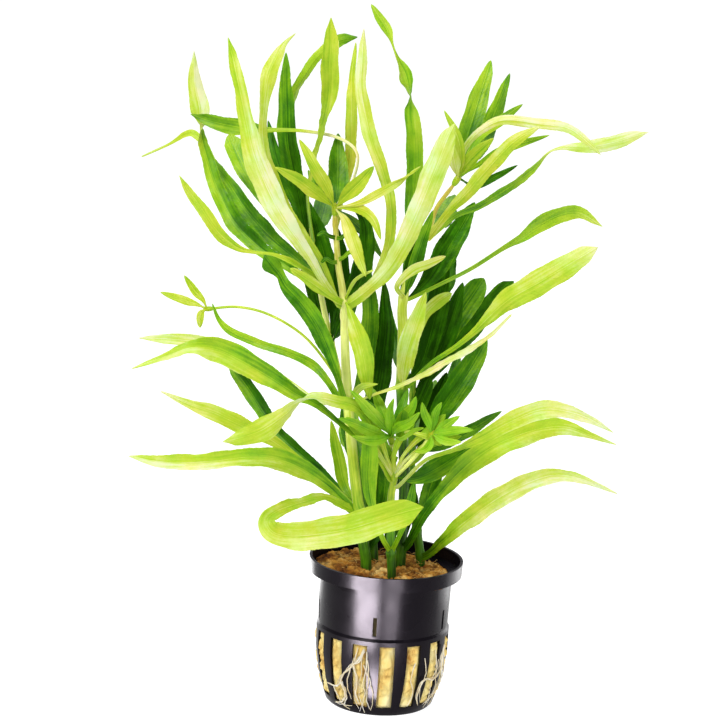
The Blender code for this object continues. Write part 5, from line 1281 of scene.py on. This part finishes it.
def fibre_part(rng):
    """A loose fibre on the plug's top or in one of the slots."""
    angle = rng.uniform(0, math.tau)
    on_top = rng.random() < FIBRES_ON_TOP
    if on_top:
        reach = WOOL_NARROW * math.sqrt(rng.uniform(0.02, 0.8))
        centre = Vector((reach * math.cos(angle), reach * math.sin(angle), WOOL_TOP + 0.3 * MM))
        lie = Vector((rng.normal(), rng.normal(), 0.35 * rng.normal()))
        up = Vector((0, 0, 1))
    else:
        slot = SLOT_PHASE + math.tau * rng.integers(SLOTS) / SLOTS + rng.uniform(-0.07, 0.07)
        height = rng.uniform(SLOT_LOW + 2 * MM, SLOT_HIGH - 2 * MM)
        reach = shell_radius(height) - 0.35 * MM
        centre = Vector((reach * math.cos(slot), reach * math.sin(slot), height))
        up = Vector((math.cos(slot), math.sin(slot), 0))
        lie = Vector((-up.y, up.x, 0)) * rng.normal() * 0.5 + Vector((0, 0, rng.normal()))
    lie = (lie - up * lie.dot(up) * 0.7).normalized()
    bend = up.cross(lie)
    length = rng.uniform(1.6, 4.6) * MM * (1 if on_top else 0.7)
    line = []
    for step in np.linspace(-0.5, 0.5, 6):
        rise = (0.35 - 1.6 * step ** 2) * length * 0.22
        line.append(centre + lie * step * length + up * rise + bend * length * 0.5 * (step ** 2 - 0.1))
    tube = tube_part(line, [rng.uniform(0.05, 0.11) * MM] * 6, [rng.uniform(-0.1, 0.4)] * 6, 1, 4)
    tube["shade"] = np.tile([0.0, float(on_top), rng.uniform(-0.1, 0.45)], (len(tube["points"]), 1))
    return tube


def add_wool(surface):
    turns = [math.tau * index / WOOL_AROUND for index in range(WOOL_AROUND)]
    heights = [FLOOR + GAP, *np.linspace(SLOT_LOW + GAP, SLOT_HIGH - GAP, WOOL_SIDE_ROWS),
               *np.linspace(WOOL_BAND_LOW, WOOL_SIDE_TOP, WOOL_BAND_ROWS)]
    rows = [wool_side(angle, height) for height in heights for angle in turns]
    rows += [wool_top(angle, 1 - ring / WOOL_RINGS) for ring in range(WOOL_RINGS) for angle in turns]
    points, shades = zip(*rows)
    grid = np.arange(len(rows)).reshape(-1, WOOL_AROUND)
    faces = [*sheet(grid), grid[-1].tolist()]
    plug = {"points": np.array(points), "faces": faces, "shade": np.array(shades, float)}
    rng = np.random.default_rng(WOOL_SEED)
    parts = [plug, *(fibre_part(rng) for _ in range(WOOL_FIBRES))]
    build("wool_plug", parts, [surface], "rockwool_plug", 180)


# Roots


def root_point(degrees, height_mm, lift):
    angle = math.radians(degrees - 90)
    radius = shell_radius(height_mm * MM) + lift
    return [radius * math.cos(angle), radius * math.sin(angle), height_mm * MM]


def strand(points, thick, rng, wander):
    """A root's tube along its points, given as (degrees, mm above the table, mm off the wall)."""
    rows = [root_point(degrees, height, lift * MM) for degrees, height, lift in points]
    line = smooth_line(rows, 14 * len(points))
    along = np.linspace(0, 1, len(line))
    for axis in range(3):
        wave = sum(rng.normal() / k * np.sin(along * math.tau * k * 1.7 + rng.uniform(0, 6))
                   for k in (1, 2, 3, 5))
        line[:, axis] += wave * wander * np.sin(math.pi * np.clip(along * 1.02, 0, 1)) ** 0.5
    radii = thick / 2 * (1 - 0.55 * along ** 2)
    return tube_part(line, radii, [0.5] * len(line), float(rng.integers(99)), 7)


def add_roots(surface):
    rng = np.random.default_rng(5)
    for name, strands in ROOTS.items():
        parts = []
        for points in strands:
            lifted = [(degrees, height, ROOT_LIFT_MM) for degrees, height in points]
            parts.append(strand(lifted, ROOT_THICK, rng, 0.12 * MM))
            for _ in range(2):
                beside = [
                    (degrees + rng.normal() * 1.1, height + rng.normal() * 0.5, 0.55 + 0.3 * rng.random())
                    for degrees, height in points
                ]
                parts.append(strand(beside, rng.uniform(0.3, 0.5) * MM, rng, 0.2 * MM))
        for points in FINE_ROOTS[name]:
            parts.append(strand(points, rng.uniform(0.28, 0.5) * MM, rng, 0.16 * MM))
        build(name.replace("roots", "strands"), parts, [surface], name)

# Surfaces


class Nodes:
    """A material's node tree, with a method for each kind of node that is used here."""

    def __init__(self, name):
        self.surface = bpy.data.materials.new(name)
        self.surface.use_nodes = True
        self.tree = self.surface.node_tree
        self.tree.nodes.clear()

    def add(self, kind, inputs=None, **settings):
        node = self.tree.nodes.new(kind)
        for key, value in settings.items():
            setattr(node, key, value)
        for key, value in (inputs or {}).items():
            self.put(node.inputs[key], value)
        return node

    def put(self, socket, value):
        if isinstance(value, bpy.types.NodeSocket):
            self.tree.links.new(value, socket)
        else:
            socket.default_value = value

    def math(self, operation, *values, clamp=False):
        node = self.add("ShaderNodeMath", operation=operation, use_clamp=clamp)
        for socket, value in zip(node.inputs, values):
            self.put(socket, value)
        return node.outputs[0]

    def vary(self, value, amount, variation):
        """The value, moved by amount times how far a variation is from its middle."""
        return self.math("MULTIPLY_ADD", self.math("SUBTRACT", variation, 0.5), amount, value)

    def stretch(self, vector, factors):
        """The vector with each of its three numbers multiplied."""
        return self.add("ShaderNodeVectorMath", {0: vector, 1: factors}, operation="MULTIPLY").outputs[0]

    def bump(self, strength, distance, height):
        inputs = {"Strength": strength, "Distance": distance, "Height": height}
        return self.add("ShaderNodeBump", inputs).outputs[0]

    def attribute(self, name):
        """The three numbers of a vector attribute."""
        vector = self.add("ShaderNodeAttribute", attribute_name=name).outputs["Vector"]
        return vector, self.add("ShaderNodeSeparateXYZ", {0: vector}).outputs

    def noise(self, vector, scale, detail=2.0, roughness=0.5):
        inputs = {"Vector": vector, "Scale": scale, "Detail": detail, "Roughness": roughness}
        return self.add("ShaderNodeTexNoise", inputs).outputs[0]

    def remap(self, value, low, high, to_low=0.0, to_high=1.0):
        inputs = {0: value, 1: low, 2: high, 3: to_low, 4: to_high}
        return self.add("ShaderNodeMapRange", inputs, interpolation_type="SMOOTHSTEP").outputs[0]

    def ramp(self, value, stops):
        node = self.add("ShaderNodeValToRGB", {0: value})
        elements = node.color_ramp.elements
        while len(elements) < len(stops):
            elements.new(0.5)
        for element, (place, colour) in zip(elements, stops):
            element.position = place
            element.color = (*colour, 1)
        return node.outputs[0]

    def mix(self, share, first, second):
        node = self.add("ShaderNodeMix", data_type="RGBA")
        self.put(node.inputs[0], share)
        self.put(node.inputs[6], first)
        self.put(node.inputs[7], second)
        return node.outputs[2]

    def finish(self, shader):
        out = self.add("ShaderNodeOutputMaterial")
        self.tree.links.new(shader.outputs[0], out.inputs[0])
        return self.surface


def leaf_surface():
    nodes = Nodes("leaf")
    blade, (across, along, _) = nodes.attribute("blade")
    _, (turn, warm, tone) = nodes.attribute("shade")
    flat = nodes.math("ABSOLUTE", across)
    broad = nodes.noise(blade, 0.16, 3)
    fine = nodes.noise(blade, 1.3, 4)
    streak = nodes.noise(nodes.stretch(blade, (1.3, 0.07, 1.0)), 1.0, 3)
    wander = nodes.math("MULTIPLY_ADD", nodes.noise(blade, 0.5), 1.2, along)
    leaning = nodes.math("MULTIPLY_ADD", flat, -1.25, wander)
    vein_phase = nodes.math("PINGPONG", nodes.math("DIVIDE", leaning, 2.1), 0.5)
    vein = nodes.math("MULTIPLY", nodes.remap(vein_phase, 0.10, 0.0), nodes.remap(flat, 0.2, 0.7))
    rib = nodes.remap(flat, 0.22, 0.08)
    # Painted shade: the band beside the midrib, in its groove, is made darker
    groove_shade = nodes.math("SUBTRACT", nodes.remap(flat, 0.62, 0.28), rib)
    edge = nodes.remap(nodes.math("ABSOLUTE", turn), 0.85, 1.0)
    value = tone
    for variation, amount in ((broad, 0.34), (streak, 0.50), (fine, 0.10)):
        value = nodes.vary(value, amount, variation)
    for mark, amount in ((vein, 0.03), (rib, 0.06), (groove_shade, -0.07), (edge, 0.06)):
        value = nodes.math("MULTIPLY_ADD", mark, amount, value)
    warm = nodes.vary(warm, 1.6, nodes.noise(blade, 0.11, 3))
    red, green = (nodes.math("MULTIPLY_ADD", warm, amount, 1.0) for amount in (0.30, -0.06))
    hue = nodes.add("ShaderNodeCombineXYZ", {0: red, 1: green, 2: 1.0}).outputs[0]
    colour = nodes.stretch(nodes.ramp(value, LEAF_COLOURS), hue)
    speck = nodes.remap(nodes.noise(blade, 0.75, 5, 0.6), 0.735, 0.76)
    colour = nodes.mix(nodes.math("MULTIPLY", speck, 0.5), colour, SPECK_COLOUR)
    height = nodes.math("MULTIPLY", fine, 0.6)
    for mark, amount in ((vein, -0.5), (streak, 1.2), (rib, 0.4)):
        height = nodes.math("MULTIPLY_ADD", mark, amount, height)
    bump = nodes.bump(0.4, 0.3 * MM, height)
    gloss = nodes.add("ShaderNodeBsdfPrincipled", {
        "Base Color": colour,
        "Roughness": nodes.remap(fine, 0.2, 0.8, 0.32, 0.46),
        "Specular IOR Level": nodes.remap(tone, 0.0, 0.5, 0.02, 0.24),
        "Normal": bump,
    })
    through = nodes.mix(0.20, colour, THROUGH_COLOUR)
    glow = nodes.add("ShaderNodeBsdfTranslucent", {"Color": through, "Normal": bump})
    return nodes.finish(nodes.add("ShaderNodeMixShader", {0: 0.26, 1: gloss.outputs[0], 2: glow.outputs[0]}))


def stem_surface():
    nodes = Nodes("stem")
    blade, (around, along, _) = nodes.attribute("blade")
    _, (_, _, tone) = nodes.attribute("shade")
    place = nodes.add("ShaderNodeCombineXYZ", {0: around, 1: nodes.math("MULTIPLY", along, 0.06)}).outputs[0]
    streak = nodes.noise(place, 1.4, 3)
    value = nodes.vary(tone, 0.3, nodes.noise(blade, 0.12, 3))
    value = nodes.vary(value, 0.35, streak)
    return nodes.finish(nodes.add("ShaderNodeBsdfPrincipled", {
        "Base Color": nodes.ramp(value, STEM_COLOURS), "Roughness": 0.42, "Specular IOR Level": 0.2,
        "Normal": nodes.bump(0.3, 0.3 * MM, streak),
        "Subsurface Weight": 0.25, "Subsurface Scale": 1.0,
        "Subsurface Radius": (1.2 * MM, 1.4 * MM, 0.5 * MM),
    }))


def pot_surface():
    nodes = Nodes("pot")
    place = nodes.add("ShaderNodeTexCoord").outputs["Object"]
    return nodes.finish(nodes.add("ShaderNodeBsdfPrincipled", {
        "Base Color": (0.004, 0.003, 0.005, 1),
        "Roughness": nodes.remap(nodes.noise(place, 90, 4), 0.3, 0.7, 0.24, 0.34),
        "Specular IOR Level": 0.07,
        "Specular Tint": (1.0, 0.88, 1.0, 1),
        "Normal": nodes.bump(0.12, 0.2 * MM, nodes.noise(place, 1400, 2)),
    }))


def wool_surface():
    nodes = Nodes("rockwool")
    place = nodes.add("ShaderNodeTexCoord").outputs["Object"]
    _, (crevice, top, stain) = nodes.attribute("shade")
    clump = nodes.noise(place, 130, 5, 0.6)
    fibre = nodes.noise(nodes.stretch(place, (1.0, 1.0, 0.35)), 1500, 5, 0.7)
    value = nodes.vary(nodes.vary(0.55, 1.5, clump), 0.55, fibre)
    value = nodes.math("MULTIPLY_ADD", stain, 1.0, value)
    colour = nodes.mix(top, nodes.ramp(value, WOOL_SIDE_COLOURS), nodes.ramp(value, WOOL_TOP_COLOURS))
    # Painted shade: the colour is mixed towards a near-black brown in the crevices between lumps, more on the
    # top
    # than in the slots, and where the plug stands behind the pot's side above the slots
    depth = nodes.math("MULTIPLY", crevice, nodes.math("MULTIPLY_ADD", top, 0.6, 0.2))
    return nodes.finish(nodes.add("ShaderNodeBsdfPrincipled", {
        "Base Color": nodes.mix(depth, colour, CREVICE_SHADE_COLOUR), "Roughness": 0.95, "Specular IOR Level": 0.15,
        "Normal": nodes.bump(0.8, 1.2 * MM, nodes.math("MULTIPLY_ADD", fibre, 0.6, clump)),
    }))


def root_surface():
    nodes = Nodes("root")
    blade, _ = nodes.attribute("blade")
    return nodes.finish(nodes.add("ShaderNodeBsdfPrincipled", {
        "Base Color": nodes.ramp(nodes.noise(blade, 0.12, 3), ROOT_COLOURS), "Roughness": 0.45,
        "Subsurface Weight": 0.3, "Subsurface Scale": 1.0,
        "Subsurface Radius": (1.0 * MM, 0.8 * MM, 0.5 * MM),
    }))


# Stage


def panel(name, place, away, width, height, power):
    """A panel of light at a place, which shines the way opposite to away."""
    light = bpy.data.lights.new(name, "AREA")
    light.shape = "RECTANGLE"
    light.size = width
    light.size_y = height
    light.energy = power
    obj = bpy.data.objects.new(name, light)
    obj.matrix_world = Matrix.Translation(place) @ away.to_track_quat("Z", "Y").to_matrix().to_4x4()
    bpy.context.scene.collection.objects.link(obj)
    return obj


def add_lights(pot):
    """The lights round the plant, and the panels that only the pot's side mirrors."""
    for name, azimuth, elevation, distance, size, power in LAMPS:
        turn, rise = math.radians(azimuth), math.radians(elevation)
        away = Vector((math.sin(turn) * math.cos(rise), -math.cos(turn) * math.cos(rise), math.sin(rise)))
        panel(name, LAMPS_FACE + away * distance, away, size, size, power)
    mirrors = bpy.data.collections.new("mirrors")
    mirrors.objects.link(pot)
    for name, place, faced, width, height, power in CARDS:
        card = panel(name, Vector(place), Vector(place) - Vector(faced), width, height, power)
        card.visible_camera = False
        card.visible_diffuse = False
        card.light_linking.receiver_collection = mirrors


def add_floor():
    """A plain pale floor that gives a little light of its own, so that it stays white in the shade."""
    nodes = Nodes("paper")
    paper = nodes.add("ShaderNodeBsdfPrincipled", {
        "Base Color": (0.30, 0.30, 0.30, 1), "Roughness": 0.9, "Specular IOR Level": 0.1,
        "Emission Color": (1, 1, 1, 1), "Emission Strength": FLOOR_LIGHT,
    })
    mesh = bpy.data.meshes.new("floor")
    signs = (-1, -1), (1, -1), (1, 1), (-1, 1)
    mesh.from_pydata([(FLOOR_REACH * x, FLOOR_REACH * y, 0) for x, y in signs], [], [(0, 1, 2, 3)])
    mesh.materials.append(nodes.finish(paper))
    floor = bpy.data.objects.new("floor", mesh)
    bpy.context.scene.collection.objects.link(floor)


def add_world():
    """White behind and darker in front."""
    world = bpy.data.worlds.new("studio")
    world.use_nodes = True
    tree = world.node_tree
    tree.nodes.clear()
    place = tree.nodes.new("ShaderNodeTexCoord")
    parts = tree.nodes.new("ShaderNodeSeparateXYZ")
    tree.links.new(place.outputs["Generated"], parts.inputs[0])
    behind = tree.nodes.new("ShaderNodeMapRange")
    behind.interpolation_type = "SMOOTHSTEP"
    for socket, value in zip(behind.inputs[1:5], (-0.1, 0.5, WORLD_FRONT, WORLD_BACK)):
        socket.default_value = value
    tree.links.new(parts.outputs[1], behind.inputs[0])
    back = tree.nodes.new("ShaderNodeBackground")
    tree.links.new(behind.outputs[0], back.inputs[1])
    out = tree.nodes.new("ShaderNodeOutputWorld")
    tree.links.new(back.outputs[0], out.inputs[0])
    bpy.context.scene.world = world


def main():
    leaf, stem = leaf_surface(), stem_surface()
    stems = {each.name: stem_line(each) for each in STEMS}
    add_leaves(stems, leaf)
    add_stems(stems, stem, leaf)
    add_crowns(stems, leaf, stem)
    pot = add_pot(pot_surface())
    add_wool(wool_surface())
    add_roots(root_surface())
    add_floor()
    add_world()
    add_lights(pot)
    add_camera()
    view = bpy.context.scene.view_settings
    view.view_transform = "Standard"
    view.exposure = 0


main()
